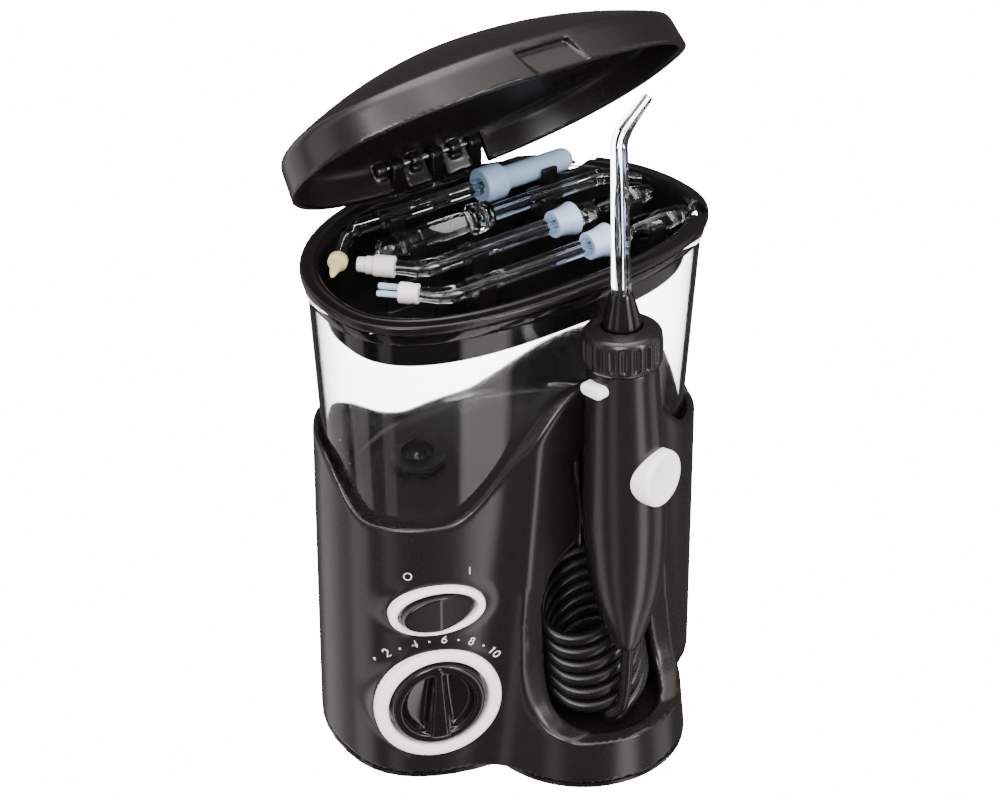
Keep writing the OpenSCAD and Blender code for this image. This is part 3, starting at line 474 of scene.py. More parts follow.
def tank_rings():
    floor_z, top = 82.3, 164.7

    def wall(inset, z):
        t = (z - 85.3) / (top - 85.3)
        return 62.1 + 3.9 * t - inset, 30.1 + 3.9 * t - inset, 49.2 + 3.8 * t - inset, z

    outer, inner = [], []
    for k in range(7):
        q = math.pi / 2 * k / 6
        a, f, b, _ = wall(0, 86.3)
        r = 4.0
        outer.append(oval_ring(a - r + r * math.sin(q), f - r + r * math.sin(q), b - r + r * math.sin(q),
                               floor_z + r - r * math.cos(q)))
        a, f, b, _ = wall(2.0, 86.3)
        inner.append(oval_ring(a - r + r * math.sin(q), f - r + r * math.sin(q), b - r + r * math.sin(q),
                               floor_z + 2 + r - r * math.cos(q)))
    for z in np.linspace(90, 160.9, 24):
        outer.append(oval_ring(*wall(0, z)))
        inner.append(oval_ring(*wall(1.9, z)))
    # thickened rim
    for d, z in ((-0.5, 161.4), (-0.8, 161.9), (-0.8, 164.3), (-0.4, 164.7), (1.4, 164.7), (1.9, 164.3)):
        a, f, b, _ = wall(0, 164.7)
        outer.append(oval_ring(a - d, f - d, b - d, z))
    return outer + inner[::-1]


tank = ringed("tank_shell", tank_rings(), "clear")
place(tank, "tank", "tank", slot="clear_plastic")

TIP_Z = 168.0
TIP_Y = {"pocket": 34.0, "spare": 19.0, "brush": 1.5, "plaque": -16.0}
POSTS = [(-22, 34, 2.8, 1.2), (36, 34, 4, 1.2), (-25, 19, 3.6, 0), (25, 19, 2.8, 0), (-14, 1.5, 2.8, 0),
         (45, 1.5, 3.6, 0), (-24, -16, 2.8, 0), (40, -16, 3.6, 0)]
HINGE = (6.0, 50.4, 176.0)
POCKET_Z = TIP_Z + 1.2


def knuckle_d(x, y, z, cx, half):
    """An upright hinge knuckle on the tray's back rim."""
    bar = np.maximum(np.abs(y - HINGE[1]) - 2.2, np.abs(z - 171) - 5)
    d = smin(np.hypot(y - HINGE[1], z - HINGE[2]) - 2.2, bar, 0.5)
    return smax(d, np.abs(x - cx) - half, 0.5)


def tray_d(x, y, z):
    t = np.clip((z - 150) / 16, 0, 1)
    flange = smax(oval_d(x, y, 67.9, 35.9, 54.9), np.abs(z - 166.5) - 1.5, 1.2)
    tub = smax(oval_d(x, y, 60 + 3.3 * t, 28 + 3.3 * t, 47 + 3.3 * t), 150 - z, 3)
    d = smin(flange, np.maximum(tub, z - 167), 1.0)
    t = np.clip((z - 152) / 16, 0, 1)
    hollow = smax(oval_d(x, y, 58.2 + 3.8 * t, 26.2 + 3.8 * t, 45.2 + 2.7 * t), 152 - z, 3)
    d = smax(d, -hollow, 1.4)
    # a raised bead round the flange, and a groove between it and the outer edge
    bead = np.hypot(oval_d(x, y, 63.6, 31.6, 50.2), z - 167.7) - 0.9
    d = smin(d, bead, 0.8)
    step = box_d(x, y, z, (HINGE[0], 54, 169.1), (31, 7, 2.5), 0.4)
    d = smax(d, -step, 0.6)
    floor = smax(oval_d(x, y, 58.6, 26.6, 45.6), np.abs(z - 151) - 1.0, 0.5)
    d = np.minimum(d, floor)
    inside = oval_d(x, y, 61.6, 29.6, 48.4)
    for px, py, r, up in POSTS:
        block = box_d(x, y, z, (px, py, 160.2 + up / 2), (3.0, r + 1.6, 9.4 + up / 2), 0.6)
        slot = np.where(z > TIP_Z + up, np.abs(y - py), np.hypot(y - py, z - TIP_Z - up)) - r - 0.2
        d = smin(d, smax(smax(block, -slot, 0.5), inside, 0.5), 0.6)
    # low ribs along the floor between the tips
    for ry, x0, x1 in ((10, -40, 44), (-7, -34, 46), (27, -30, 36)):
        rib = box_d(x, y, z, ((x0 + x1) / 2, ry, 156), ((x1 - x0) / 2, 0.9, 5), 0.4)
        d = smin(d, rib, 1.0)
    for gx, gy, gz, r in ((46, 34, POCKET_Z, 4.1), (51.5, -16, TIP_Z, 3.7)):
        d = smax(d, -smax(np.hypot(y - gy, z - gz) - r, np.abs(x - gx) - 10.5, 0.5), 0.5)
    for k in (-15, 0, 15):
        d = smin(d, knuckle_d(x, y, z, HINGE[0] + k, 2.5), 0.4)
    return d


TRAY_STEP = 0.75
tray = solid("tray_shell", tray_d, (-70, -38, 148), (70, 57, 180), TRAY_STEP, "black_part")
place(tray, "tray", "tip_tray", slot="black_part")

LID_Z = 168.3


def lid_outer(x, y, z, inset):
    h = z - LID_Z
    taper = 0.9 * np.clip(h / 10, 0, 1)
    wall = oval_d(x, y, 67.9 - taper - inset, 35.9 - taper - inset, 54.9 - taper - inset)
    n = np.where(y < 0, 2.3, 2.1)
    g = (np.abs(x / 66) ** n + np.abs(y / np.where(y < 0, 34, 53)) ** n) ** (1 / n)
    slope = 28 * g * g / np.maximum(np.hypot(x, y), 8)
    crown = (h - (12.0 + 14.0 * (1 - np.clip(g, 0, 1.2) ** 2.0))) / np.sqrt(1 + slope * slope) + inset
    return smax(wall, crown, 2.2)


def lid_d(x, y, z):
    d = lid_outer(x, y, z, 0)
    hollow = np.maximum(lid_outer(x, y, z, 2.5), -(z - LID_Z) - 5)
    for k in (-21, -7.5, 7.5, 21):
        ear = smin(np.hypot(y - HINGE[1], z - HINGE[2]) - 2.2,
                   box_d(x, y, z, (HINGE[0] + k, 52.6, 176.2), (9, 2.4, 3.6), 0.4), 0.6)
        hollow = smax(hollow, -smax(ear, np.abs(x - HINGE[0] - k) - 2, 0.4), 0.4)
    # finger recess at the front, with the wall thickened behind it
    u = (x - LOBE_X) + 0.45 * (z - LID_Z - 4)
    scoop = smax(np.abs(u) - 9.5, np.abs(z - LID_Z - 3.0) - 5.6, 1.0)
    scoop = smax(scoop, (y + 34.2) - 0.30 * (z - LID_Z - 4), 0.6)
    hollow = smax(hollow, -(scoop - 2.0), 1.0)
    d = smax(d, -hollow, 0.5)
    d = smax(d, -smax(scoop, -(y + 45), 0.5), 0.4)
    for k in (-15, 0, 15):
        d = np.maximum(d, -box_d(x, y, z, (HINGE[0] + k, 52, 171.8), (2.75, 7, 5.7), 0.3))
    return np.maximum(d, LID_Z - z)


lid_swing = (Matrix.Translation(HINGE) @ Matrix.Rotation(math.radians(-44), 4, "X")
             @ Matrix.Translation([-v for v in HINGE]))
lid = solid("lid_shell", lid_d, (-70, -38, 167), (70, 57, 198), TRAY_STEP, "housing", transform=lid_swing)
place(lid, "lid", "lid", slot="housing")

# ---------------------------------------------------------------- wand
LEAN = math.radians(-3.5)
WAND = Matrix.Translation((4, -55, 45)) @ Matrix.Rotation(LEAN, 4, "X")
PAUSE_AT, EJECT_AT = (67, 15), (97.5, -84)      # height on the wand and azimuth
profile = spline([(1.0, 0), (3.2, 0.9), (5, 4.2), (6.7, 9), (9, 16), (10.7, 23), (12, 32), (12.8, 43), (13, 54),
                  (12.7, 66), (12, 80), (11.3, 92), (10.8, 101.2)], 6)
body_profile = [(0, 0)] + [tuple(p) for p in profile] + [(10.5, 101.9), (0, 101.9)]
wand_body = lathe("wand_body", body_profile, "housing", 128, matrix=WAND, angle=50)
place(wand_body, "wand", "wand_front_shell", "wand_back_shell", slot="housing")


def ribbed_collar():
    """The grip ring: a lathe whose middle band is scooped by rounded flutes."""
    prof = spline([(10.6, 0.3), (11.2, 0.5), (11.8, 1.4), (12.0, 2.2), (12.15, 3.0), (12.25, 5), (12.25, 8),
                   (12.15, 9.6),
                   (11.8, 10.6), (11.2, 11.4), (10.4, 11.9), (9.6, 12.1)], 4)
    seg = 320
    verts, rows = [], []
    for r, z in prof:
        rows.append(len(verts))
        depth = 0.95 * float(rail(z, 1.6, 3.2) * (1 - rail(z, 9.0, 10.6)))
        for k in range(seg):
            t = 2 * math.pi * k / seg
            w = 0.5 + 0.5 * math.cos(20 * t)
            rr = r - depth * w ** 1.6
            verts.append((rr * math.cos(t), rr * math.sin(t), 102 + z))
    for r, z in ((7.4, 12.6), (6.4, 12.7), (6.2, 11.5), (6.2, 0.3)):
        rows.append(len(verts))
        for k in range(seg):
            t = 2 * math.pi * k / seg
            verts.append((r * math.cos(t), r * math.sin(t), 102 + z))
    faces = []
    for p, q in list(zip(rows, rows[1:])) + [(rows[-1], rows[0])]:
        faces += [[p + k, p + (k + 1) % seg, q + (k + 1) % seg, q + k] for k in range(seg)]
    m = np.array(WAND)
    verts = np.array(verts) @ m[:3, :3].T + m[:3, 3]
    return finish_mesh("collar_ring", verts, faces, "housing", angle=50)


place(ribbed_collar(), "collar", "collar_knob", slot="housing")

tip_cone = lathe("jet_tip_cone", [(0, 106), (3.4, 106), (3.4, 114.6), (5.9, 114.9), (6.0, 115.6),
                                  (5.6, 117.5), (4.6, 121),
                                  (3.7, 124.4), (3.3, 125.4), (0, 125.4)], "gloss_black", 64, matrix=WAND)
place(tip_cone, "jet_tip", slot="housing")
jet_path = [(0, 0, z) for z in np.linspace(125.4, 172, 18)]
jet_path += [(0.6, 0, 174.3), (1.9, 0, 176.2), (3.9, 0, 178.2), (6.4, 0, 180.3), (9.6, 0, 182.9),
             (10.8, 0, 183.9)]
jet_path = spline(jet_path, 3)
k = np.arange(len(jet_path)) / (len(jet_path) - 1)
jet_radius = np.interp(k, [0, 0.72, 0.8, 0.86, 1], [3.0, 2.55, 2.6, 2.3, 1.45])
m = np.array(WAND)
jet_world = jet_path @ m[:3, :3].T + m[:3, 3]
jet = tube("jet_tip_tube", jet_world, jet_radius, "clear_tip", 28, bore=0.75)
place(jet, "jet_tip", "jet_tip", slot="clear_plastic")


def on_wand(z, az):
    """Local Z points out of the wand at that height and azimuth."""
    return WAND @ Matrix.Translation((0, 0, z)) @ Matrix.Rotation(math.radians(az), 4, "Z") @ Matrix.Rotation(
        math.radians(90), 4, "X")


button = lathe("pause_cap", [(0, 7.7), (8.9, 7.7), (9.0, 8.0), (9.0, 13.6), (8.95, 14.2), (8.7, 14.75),
                             (8.2, 15.1), (7.6, 15.2),
                             (6.2, 15.0), (3.5, 14.75), (0, 14.65)], "button", 96, matrix=on_wand(*PAUSE_AT),
                             angle=60)
place(button, "pause_button", "pause_button", slot="light_trim")


def pill_d(x, y, z):
    a = np.maximum(np.abs(x) - 2.3, 0)
    side = np.sqrt(a * a + y * y) - 2.05
    return smax(smax(side, z - 14.0, 1.4), 8 - z, 0.5)


pill = solid("eject_cap", pill_d, (-7, -3.2, 7), (7, 3.2, 15), 0.3, "button", transform=on_wand(*EJECT_AT))
place(pill, "eject_button", "eject_button", slot="light_trim")

# ---------------------------------------------------------------- control panel
dial_ring = lathe("dial_ring", [(5.2, -9.3), (17.5, -9.3), (17.5, -7.4), (20.2, -7.4), (20.5, -7.0), (20.5, 0.0),
                                (20.35, 0.7), (19.9, 1.2), (19.3, 1.5), (17.5, 1.5), (16.8, 1.25), (16.35, 0.7),
                                (16.2, 0.0), (16.2, -5.4), (5.2, -5.5)],
                  "light_trim", 144, closed=True, matrix=panel_matrix(DIAL_Z), angle=50)
place(dial_ring, "base", "dial_bezel", slot="light_trim")


def knob_d(x, y, z):
    """The dial: a rounded rim, a grip bar that widens downwards and a scoop on each side of it."""
    r = np.hypot(x, y)
    d = smax(r - 15.5 + 0.06 * (z + 5), np.abs(z + 1.7) - 3.5, 1.6)
    d = smax(d, -smax(r - 12.0, 0.9 - z, 0.6), 0.5)
    bar = 1.5 + (12 - y) * 0.12
    scoop = smax(r - 11.3, bar - np.abs(x), 1.2)
    d = smax(d, -smax(scoop, -(z + 2.8 - 0.010 * r * r), 2.0), 0.6)
    grip = smax(smax(np.abs(x) - bar * 0.55 - 0.35, np.abs(z) - 2.6 + 0.03 * (y + 12), 0.8), r - 12.2, 0.8)
    d = smin(d, grip, 0.9)
    arrow = np.maximum(np.maximum(np.abs(x) * 0.88 + (y - 14.6) * 0.47, 12.6 - y), np.abs(z) - 2.0)
    d = np.minimum(d, arrow)
    stem = np.maximum(r - 3, np.abs(z + 15) - 11)
    return np.minimum(d, stem)


FINE = 0.32
knob = solid("dial_cap", knob_d, (-16.5, -16.5, -27), (16.5, 16.5, 3.4), FINE, "gloss_black",
             transform=panel_matrix(DIAL_Z))
place(knob, "dial", "dial_knob", slot="black_part")


def ellipse_d(x, y, a, b):
    k0 = np.sqrt((x / a) ** 2 + (y / b) ** 2)
    k1 = np.sqrt((x / a ** 2) ** 2 + (y / b ** 2) ** 2)
    return k0 * (k0 - 1) / np.maximum(k1, 1e-4)


def bezel_d(x, y, z):
    d = smax(ellipse_d(x, y, 15.3, 9.0), np.abs(z + 2.0) - 3.5, 1.3)
    return smax(d, -np.maximum(ellipse_d(x, y, 12.7, 6.6), -(z + 4)), 0.9)


bezel = solid("switch_ring", bezel_d, (-16, -10, -6.5), (16, 10, 2.5), FINE, "light_trim",
              transform=panel_matrix(SWITCH_Z))
place(bezel, "base", "switch_bezel", slot="light_trim")


def rocker_d(x, y, z):
    top = 3.2 - 0.105 * np.abs(x)
    d = smax(ellipse_d(x, y, 11.8, 6.1), np.maximum(z - top, -1.6 - z), 0.45)
    d = np.minimum(d, np.maximum(np.hypot(x, z) - 0.9, np.abs(y) - 6.5))
    return np.minimum(d, box_d(x, y, z, (0, 0, -4), (2.5, 3, 2.4)))


rocker = solid("rocker_cap", rocker_d, (-12.5, -7.2, -7), (12.5, 7.2, 4.2), FINE, "gloss_black",
               transform=panel_matrix(SWITCH_Z) @ Matrix.Rotation(math.radians(11), 4, "Y"))
place(rocker, "rocker", "rocker", slot="black_part")


def on_panel(u, v, depth):
    """A point on the housing's face, u right of and v above the dial's centre, sunk by depth."""
    p = np.array([PANEL_AT[0] + u * PANEL_U[0], PANEL_AT[1] + u * PANEL_U[1], DIAL_Z + v])
    n = np.array([PANEL_N[0], PANEL_N[1], 0])
    p = p + 12 * n
    for _ in range(40):
        p = p - 0.7 * float(body_outer(*p)) * n
    return p - depth * n


def stroke(name, points, width=0.62):
    """A printed line, barely proud of the housing."""
    path = [on_panel(u, v, 0.5 * width - 0.13) for u, v in points]
    mark = tube(name, path, width / 2, "ink", 10)
    place(mark, "base", slot="light_trim")


def arc(cu, cv, ru, rv, start, end, n=14):
    return [(cu + ru * math.cos(math.radians(start + (end - start) * k / n)),
             cv + rv * math.sin(math.radians(start + (end - start) * k / n))) for k in range(n + 1)]


DIGITS = {
    "0": [arc(0, 0, 0.75, 1.25, 0, 360, 18)],
    "1": [[(-0.55, 0.85), (0.1, 1.3), (0.1, -1.3)]],
    "2": [arc(0, 0.55, 0.75, 0.7, 170, -35, 8) + [(-0.75, -1.25), (0.85, -1.25)]],
    "4": [[(0.4, -1.3), (0.4, 1.3), (-0.85, -0.5), (0.9, -0.5)]],
    "6": [[(0.55, 1.2), (0.0, 0.9), (-0.5, 0.3)] + arc(0, -0.5, 0.72, 0.75, 150, 510, 14)],
    "8": [arc(0, 0.62, 0.62, 0.6, -90, 270, 14) + arc(0, -0.62, 0.74, 0.68, 90, 450, 14)[1:]],
}


def digit(name, text, angle, radius):
    """Upright digits, turned to follow the dial; angle is measured clockwise from the top."""
    a = math.radians(angle)
    for n, ch in enumerate(text):
        shift = (n - (len(text) - 1) / 2) * 2.2
        for k, line in enumerate(DIGITS[ch]):
            pts = []
            for u, v in line:
                u += shift
                pts.append((radius * math.sin(a) + u * math.cos(a) + v * math.sin(a),
                            radius * math.cos(a) - u * math.sin(a) + v * math.cos(a)))
            stroke(f"{name}_{n}_{k}", pts)


def dot(name, angle):
    a = math.radians(angle)
    stroke(name, [(24.0 * math.sin(a) + d, 24.0 * math.cos(a)) for d in (-0.3, 0, 0.3)], 1.3)


for k, text in enumerate(("2", "4", "6", "8", "10")):
    digit("mark_" + text, text, -41 + 22 * k + 2, 24.3)
    if k < 4:
        dot(f"mark_dot_{k}", -28 + 22 * k)
dot("mark_dot_low", -50)
stroke("mark_off", arc(-8.6, 48.6, 1.15, 1.25, 0, 360, 20), 0.42)
stroke("mark_on", [(10.6, 47.2), (10.6, 49.8)], 0.5)

# ---------------------------------------------------------------- stored tips
STUB_X, TUBE_R, STUB_R = 24.0, 2.6, 3.3
HEAD_TURN, BRUSH_X, PLAQUE_X = 134, STUB_X - 56, STUB_X - 60
POCKET_TURN, POCKET_X = 226, -37


def along(y, turn=0.0, x=0.0):
    """Local Z runs along +X at a tip's height, or turned about the vertical by an angle."""
    return (Matrix.Translation((x, y, TIP_Z)) @ Matrix.Rotation(math.radians(turn), 4, "Z")
            @ Matrix.Rotation(math.radians(90), 4, "Y"))


def bent_path(y, start_x, end_x, turn, reach, blend_len=4.0):
    """From the stub's end back along the tip, then round its bend to the head."""
    a = math.radians(turn)
    pts = [(x, y, TIP_Z) for x in np.linspace(end_x, start_x + blend_len, 24)]
    pts += [(start_x + blend_len * 0.35, y + 0.12 * blend_len * math.sin(a), TIP_Z)]
    pts += [(start_x + (blend_len * 0.5 + d) * math.cos(a), y + (blend_len * 0.5 + d) * math.sin(a), TIP_Z)
            for d in np.linspace(0, reach - blend_len * 0.5, 6)]
    return spline(pts, 4)


def clear_tube(name, body, node, path, radius, bore=0.8):
    obj = tube(name, path, radius, "clear_tip", 28, bore=bore)
    place(obj, body, node, slot="clear_plastic")


def stub(name, body, y, x0, x1):
    """The thick end that plugs into the wand: two shallow grooves and a rounded nose."""
    prof = [(0, x0), (STUB_R - 0.5, x0), (STUB_R, x0 + 0.5), (STUB_R, x0 + 7), (STUB_R - 0.6, x0 + 7.6),
            (STUB_R - 0.6, x0 + 9.2), (STUB_R, x0 + 9.8), (STUB_R, x1 - 8), (STUB_R - 0.35, x1 - 4),
            (STUB_R - 1.0, x1 - 1.5),
            (STUB_R - 2.0, x1 - 0.4), (0, x1)]
    obj = lathe(name, prof, "clear_tip", 48, matrix=along(y), angle=50)
    place(obj, body, slot="clear_plastic")


for tag, y, head_x in (("brush_tip", TIP_Y["brush"], BRUSH_X), ("plaque_tip", TIP_Y["plaque"], PLAQUE_X)):
    path = bent_path(y, head_x, STUB_X + 1, HEAD_TURN, 14)
    rr = np.interp(np.arange(len(path)), [0, 0.8 * len(path), len(path)], [TUBE_R, TUBE_R, 1.75])
    clear_tube(tag + "_tube", tag, tag, path, rr)
    stub(tag + "_stub", tag, y, STUB_X, 56)
    flare = [(TUBE_R + 0.05, -7.8), (4.1, -8.0), (4.35, -7.7), (4.3, -6.5), (4.5, -4), (5.1, -1.5), (5.3, -0.6),
             (5.25, -0.1), (4.9, 0.1), (TUBE_R + 0.4, 0.0)]
    ring = lathe(tag + "_collar", flare, "ring_blue", 64, closed=True, matrix=along(y, x=STUB_X), angle=50)
    place(ring, tag, tag + "_ring", slot="ring_blue")

head = lathe("brush_tip_cap", [(0, 9), (3.1, 9), (3.35, 9.3), (3.35, 15.0), (3.1, 15.4), (2.8, 15.7),
                               (2.75, 17.6),
                               (2.4, 18.0), (2.3, 20.2), (2.1, 20.5), (0, 20.5)], "white_part", 48,
             matrix=along(TIP_Y["brush"], HEAD_TURN, BRUSH_X), angle=30)
place(head, "brush_tip", "brush_tip_head", slot="white_part")
collar = lathe("plaque_tip_cap", [(0, 8.6), (2.9, 8.6), (3.1, 8.9), (3.0, 10.4), (3.25, 11.2), (3.25, 14.2),
                                  (2.9, 14.6),
                                  (0, 14.6)], "white_part", 48,
               matrix=along(TIP_Y["plaque"], HEAD_TURN, PLAQUE_X), angle=30)
place(collar, "plaque_tip", "plaque_tip_head", slot="white_part")
for k in range(3):
    turn = math.radians(90 + 120 * k)
    tuft = lathe(f"plaque_tuft_{k}", [(0, 14.2), (0.95, 14.2), (1.0, 20.4), (0.8, 20.9), (0, 21)],
                 "sleeve_clear", 20,
                 matrix=along(TIP_Y["plaque"], HEAD_TURN, PLAQUE_X)
                 @ Matrix.Translation((1.5 * math.cos(turn), 1.5 * math.sin(turn), 0)))
    place(tuft, "plaque_tip", slot="white_part")

# straight spare: a slim stub on the left, a double flange in the middle and a bend curling forward on the right
spare_y = TIP_Y["spare"]
spare = lathe("spare_stub", [(0, -37.2), (1.6, -37.0), (2.7, -36.2), (3.3, -34.8), (3.4, -33), (3.4, -24.6),
                             (2.9, -24.2),
                             (2.9, -22.6), (3.4, -22.2), (3.4, -6), (3.1, -4), (3.1, -2.2), (4.9, -1.9),
                             (5.15, -1.2),
                             (5.15, 0.2), (4.8, 0.7), (3.3, 0.9), (3.3, 2.4), (4.4, 2.6), (4.6, 3.2),
                             (4.5, 4.2), (3.9, 4.6),
                             (2.7, 5), (0, 5)], "clear_tip", 64, matrix=along(spare_y), angle=40)
place(spare, "spare_tip", slot="clear_plastic")
curl = math.radians(-48)
spare_path = [(x, spare_y, TIP_Z) for x in np.linspace(5, 46.5, 16)]
spare_path += [(49.0, spare_y - 0.5, TIP_Z), (51.0, spare_y - 1.9, TIP_Z)]
spare_path += [(50 + d * math.cos(curl), spare_y + d * math.sin(curl), TIP_Z) for d in (4.5, 8, 12.6)]
spare_path = spline(spare_path, 4)
rr = np.interp(np.arange(len(spare_path)), [0, 0.8 * len(spare_path), len(spare_path)], [2.65, 2.55, 1.5])
clear_tube("spare_tube", "spare_tip", "jet_tip_spare", spare_path, rr)

# pocket tip: blue-grey sleeve, smoky tube and a soft pointed nozzle
pocket_y = TIP_Y["pocket"]


def pocket(x=0.0, turn=0.0):
    return (Matrix.Translation((POCKET_X + x, pocket_y, POCKET_Z)) @ Matrix.Rotation(math.radians(turn), 4, "Z")
            @ Matrix.Rotation(math.radians(90), 4, "Y"))


bend = math.radians(POCKET_TURN)
path = [(x, pocket_y, POCKET_Z) for x in np.linspace(14, -33, 18)]
path += [(-35.6, pocket_y - 0.6, POCKET_Z), (-38.2, pocket_y - 2.8, POCKET_Z)]
path += [(POCKET_X + d * math.cos(bend), pocket_y + d * math.sin(bend), POCKET_Z) for d in (6, 12, 19)]
path = spline(path, 4)
rr = np.interp(np.arange(len(path)), [0, 0.75 * len(path), len(path)], [2.6, 2.55, 2.0])
clear_tube("pocket_tube", "pocket_tip", "pocket_tip", path, rr)
sleeve = lathe("pocket_sleeve", [(2.65, 0.2), (5.3, 0.0), (5.75, 0.4), (5.8, 1.0), (5.8, 6.6), (5.6, 7.8),
                                 (4.9, 8.7),
                                 (4.1, 9.2), (3.85, 10), (3.8, 24), (3.7, 25.4), (3.8, 26.8), (3.8, 32.5)]
               + [(3.8 * math.cos(math.radians(q)), 32.5 + 3.8 * math.sin(math.radians(q)))
                  for q in (15, 30, 45, 60, 75)]
               + [(0, 36.3), (0, 8.0), (2.65, 8.0)], "sleeve_blue", 72, matrix=pocket(49), angle=40)
place(sleeve, "pocket_tip", "pocket_tip_sleeve", slot="sleeve_blue")
nozzle = lathe("pocket_nozzle", [(0, 19.1), (2.7, 19.1), (3.0, 19.5), (3.0, 21.6), (2.7, 22.1), (2.15, 22.4),
                                 (1.9, 23.6),
                                 (1.2, 27.4), (0.55, 29.9), (0.3, 30.1), (0, 30.1)], "soft_nozzle", 40,
               matrix=pocket(0, POCKET_TURN), angle=40)
place(nozzle, "pocket_tip", "pocket_tip_nozzle", slot="soft_nozzle")

# ---------------------------------------------------------------- cradle clip beside the wand
def clip_d(x, y, z):
    """In the wand's frame: a thin curved wall behind the wand whose left edge is scooped by a finger hollow."""
    r = np.hypot(x, y)
    d = smax(np.abs(r - 14.5) - 0.85, 6.4 - y, 0.4)
    d = smax(d, np.abs(z - 54) - 15.8, 0.6)
    left = np.interp(z, [38, 42, 47, 54, 60, 66, 70], [-11.6, -10.0, -8.6, -9.2, -11.8, -13.6, -14.6])
    return smax(d, left - x, 0.6)


def clip_world(x, y, z):
    m = np.array(WAND.inverted())
    u = m[0, 0] * x + m[0, 1] * y + m[0, 2] * z + m[0, 3]
    v = m[1, 0] * x + m[1, 1] * y + m[1, 2] * z + m[1, 3]
    w = m[2, 0] * x + m[2, 1] * y + m[2, 2] * z + m[2, 3]
    return smax(clip_d(u, v, w), y + 38.3, 0.3)


clip = solid("cradle_clip", clip_world, (-13, -52, 82), (21, -37.6, 116), 0.5, "gloss_black")
place(clip, "base", "wand_cradle", slot="housing")

# ---------------------------------------------------------------- hose
def coil_at(u, a):
    depth = 13.5 - 1.9 * u
    height = 27 + 29 * u + 0.5 * depth * math.sin(a) + 4.5 * math.cos(a)
    return LOBE_X + 16.0 * math.cos(a), -40 + 7.4 * u + depth * math.sin(a), height


turns = 6.6
coil = []
steps = 420
for i in range(steps + 1):
    a = math.radians(135) - i * (turns * 2 * math.pi) / steps
    coil.append(coil_at(1 - i / steps, a))
last = np.array(coil[-1])
ahead = last + (last - np.array(coil[-2])) / np.linalg.norm(last - np.array(coil[-2])) * 5
tail = spline([coil[-1], tuple(ahead), (-1.5, -53.6, 20), (1.4, -55.9, 23.5), (2.8, -56.2, 31),
               (3.7, -55.6, 40), (4, -55.4, 45.6)], 8)
head = spline([(-15.6, -26.3, 62), (-12.5, -27.0, 62.5), coil[3]], 5)[:-1]
hose = tube("hose_coil", np.concatenate([head, coil[3:], tail[1:]]), 2.05, "hose", 18)
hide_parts("coiled_hose")
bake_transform(hose)

# ---------------------------------------------------------------- carried-over nodes
SLOT_MATERIAL = {"clear_plastic": "clear", "ring_blue": "ring_blue"}
slot_of = {s["node"]: s["material_slot"] for s in frame["record"]["subparts"]}
for name, obj in NODE.items():
    key = slot_of[name]
    key = SLOT_MATERIAL.get(key, key)
    if name == "coiled_hose":
        key = "hose"
    if name == "tank_valve_poppet":
        key = "black_part"
    obj.data.materials.clear()
    obj.data.materials.append(MAT[key])
    for poly in obj.data.polygons:
        poly.use_smooth = True
    obj.data.set_sharp_from_angle(angle=math.radians(32))

# ---------------------------------------------------------------- stage, light and camera
def node_math(tree, op, a, b=None):
    n = tree.nodes.new("ShaderNodeMath")
    n.operation = op
    for k, v in enumerate((a, b)):
        if v is None:
            continue
        if isinstance(v, (int, float)):
            n.inputs[k].default_value = v
        else:
            tree.links.new(v, n.inputs[k])
    return n.outputs[0]


def straight_view(tree):
    """1 where the viewer looks at something directly or only through clear plastic, else 0."""
    path = tree.nodes.new("ShaderNodeLightPath")
    other = node_math(tree, "SUBTRACT", path.outputs["Ray Depth"], path.outputs["Transmission Depth"])
    clear = node_math(tree, "LESS_THAN", other, 0.5)
    diffuse = node_math(tree, "SUBTRACT", 1.0, path.outputs["Is Diffuse Ray"])
    return node_math(tree, "MULTIPLY", clear, diffuse)


def window(tree, value, centre, half, soft):
    """1 within half of centre, fading to 0 over soft."""
    off = node_math(tree, "ABSOLUTE", node_math(tree, "SUBTRACT", value, centre))
    m = tree.nodes.new("ShaderNodeMapRange")
    m.interpolation_type = "SMOOTHSTEP"
    m.inputs["From Min"].default_value = half + soft
    m.inputs["From Max"].default_value = half
    tree.links.new(off, m.inputs["Value"])
    return m.outputs[0]


floor = bpy.data.meshes.new("floor")
floor.from_pydata([(-6, -6, 0), (6, -6, 0), (6, 6, 0), (-6, 6, 0)], [], [(0, 1, 2, 3)])
floor_obj = bpy.data.objects.new("floor", floor)
bpy.context.scene.collection.objects.link(floor_obj)
floor_mat = bpy.data.materials.new("floor")
floor_mat.use_nodes = True
ft = floor_mat.node_tree
ft.nodes.clear()
floor_out = ft.nodes.new("ShaderNodeOutputMaterial")
paper = ft.nodes.new("ShaderNodeBsdfDiffuse")
glow = ft.nodes.new("ShaderNodeEmission")
mix = ft.nodes.new("ShaderNodeMixShader")
grain = ft.nodes.new("ShaderNodeTexNoise")
grain.inputs["Scale"].default_value = 60
tone = ft.nodes.new("ShaderNodeMapRange")
tone.inputs["To Min"].default_value = 0.60
tone.inputs["To Max"].default_value = 0.64
ft.links.new(grain.outputs["Fac"], tone.inputs["Value"])
# seen in a reflection inside clear plastic, the floor stays dark
clear_depth = ft.nodes.new("ShaderNodeLightPath").outputs["Transmission Depth"]
direct = node_math(ft, "SUBTRACT", 1.0, node_math(ft, "MINIMUM", clear_depth, 1.0))
ft.links.new(node_math(ft, "MULTIPLY", tone.outputs[0], direct), paper.inputs["Color"])
glow.inputs["Color"].default_value = (1, 0.998, 0.99, 1)
glow.inputs["Strength"].default_value = 24.0
ft.links.new(node_math(ft, "MULTIPLY", straight_view(ft), 0.85), mix.inputs[0])
ft.links.new(paper.outputs[0], mix.inputs[1])
ft.links.new(glow.outputs[0], mix.inputs[2])
ft.links.new(mix.outputs[0], floor_out.inputs["Surface"])
floor.materials.append(floor_mat)
floor_obj.visible_glossy = False

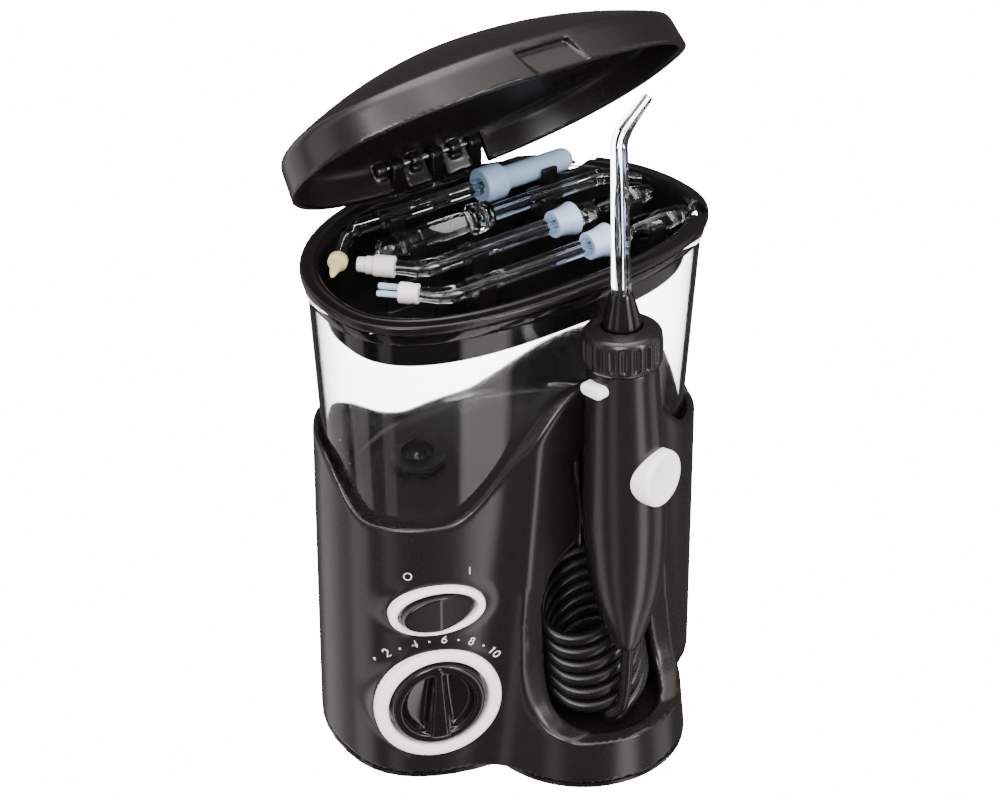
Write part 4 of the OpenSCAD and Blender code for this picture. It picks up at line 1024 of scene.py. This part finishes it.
world = bpy.data.worlds.new("studio")
bpy.context.scene.world = world
world.use_nodes = True
wt = world.node_tree
way = wt.nodes.new("ShaderNodeTexCoord")
axes = wt.nodes.new("ShaderNodeSeparateXYZ")
wt.links.new(way.outputs["Generated"], axes.inputs[0])
turn = node_math(wt, "ARCTAN2", axes.outputs["X"], node_math(wt, "MULTIPLY", axes.outputs["Y"], -1.0))
height = axes.outputs["Z"]
# tall soft panels round the object, given as azimuth, half width, softness and brightness
room = 0.10
PANELS = ((13, 8, 5, 3.0), (62, 9, 10, 0.9), (-118, 12, 10, 1.2), (-66, 5, 8, 0.8), (-165, 10, 14, 0.8))
for centre, half, soft, power in PANELS:
    strip = window(wt, turn, math.radians(centre), math.radians(half), math.radians(soft))
    room = node_math(wt, "ADD", node_math(wt, "MULTIPLY", strip, power), room)
over = window(wt, height, 1.0, 0.10, 0.16)
room = node_math(wt, "ADD", node_math(wt, "MULTIPLY", over, 2.6), room)
seen = straight_view(wt)
hidden = node_math(wt, "MULTIPLY", room, node_math(wt, "SUBTRACT", 1.0, seen))
shown = node_math(wt, "MULTIPLY", seen, 20.0)
# matt surfaces get an even fill that glossy ones don't mirror
fill = node_math(wt, "MULTIPLY", wt.nodes.new("ShaderNodeLightPath").outputs["Is Diffuse Ray"], 1.3)
wt.nodes["Background"].inputs["Color"].default_value = (1, 0.955, 0.91, 1)
total = node_math(wt, "ADD", node_math(wt, "ADD", hidden, shown), fill)
wt.links.new(total, wt.nodes["Background"].inputs["Strength"])


def area_light(name, at, target, size, power):
    light = bpy.data.lights.new(name, "AREA")
    light.shape = "RECTANGLE"
    light.size, light.size_y = size
    light.energy = power
    obj = bpy.data.objects.new(name, light)
    obj.location = at
    obj.rotation_euler = (Vector(target) - Vector(at)).to_track_quat("-Z", "Y").to_euler()
    bpy.context.scene.collection.objects.link(obj)
    return obj


area_light("key", (-0.95, -0.9, 1.3), (0, 0, 0.1), (0.8, 0.8), 24)
area_light("strip", (0.5, -1.4, 0.9), (0, 0, 0.1), (0.3, 1.0), 13)
area_light("top", (0.1, 0.2, 1.6), (0, 0, 0.1), (1.0, 1.0), 14)

camera = bpy.data.cameras.new("camera")
camera.lens = 92.16
camera.sensor_width = 36
cam = bpy.data.objects.new("camera", camera)
bpy.context.scene.collection.objects.link(cam)
az, el, dist = math.radians(-36.5), math.radians(31.58), 0.8
target = Vector((-0.00806, -0.00398, 0.11619))
direction = Vector((math.sin(az) * math.cos(el), -math.cos(az) * math.cos(el), math.sin(el)))
cam.location = target + dist * direction
cam.rotation_euler = (-direction).to_track_quat("-Z", "Y").to_euler()
bpy.context.scene.camera = cam
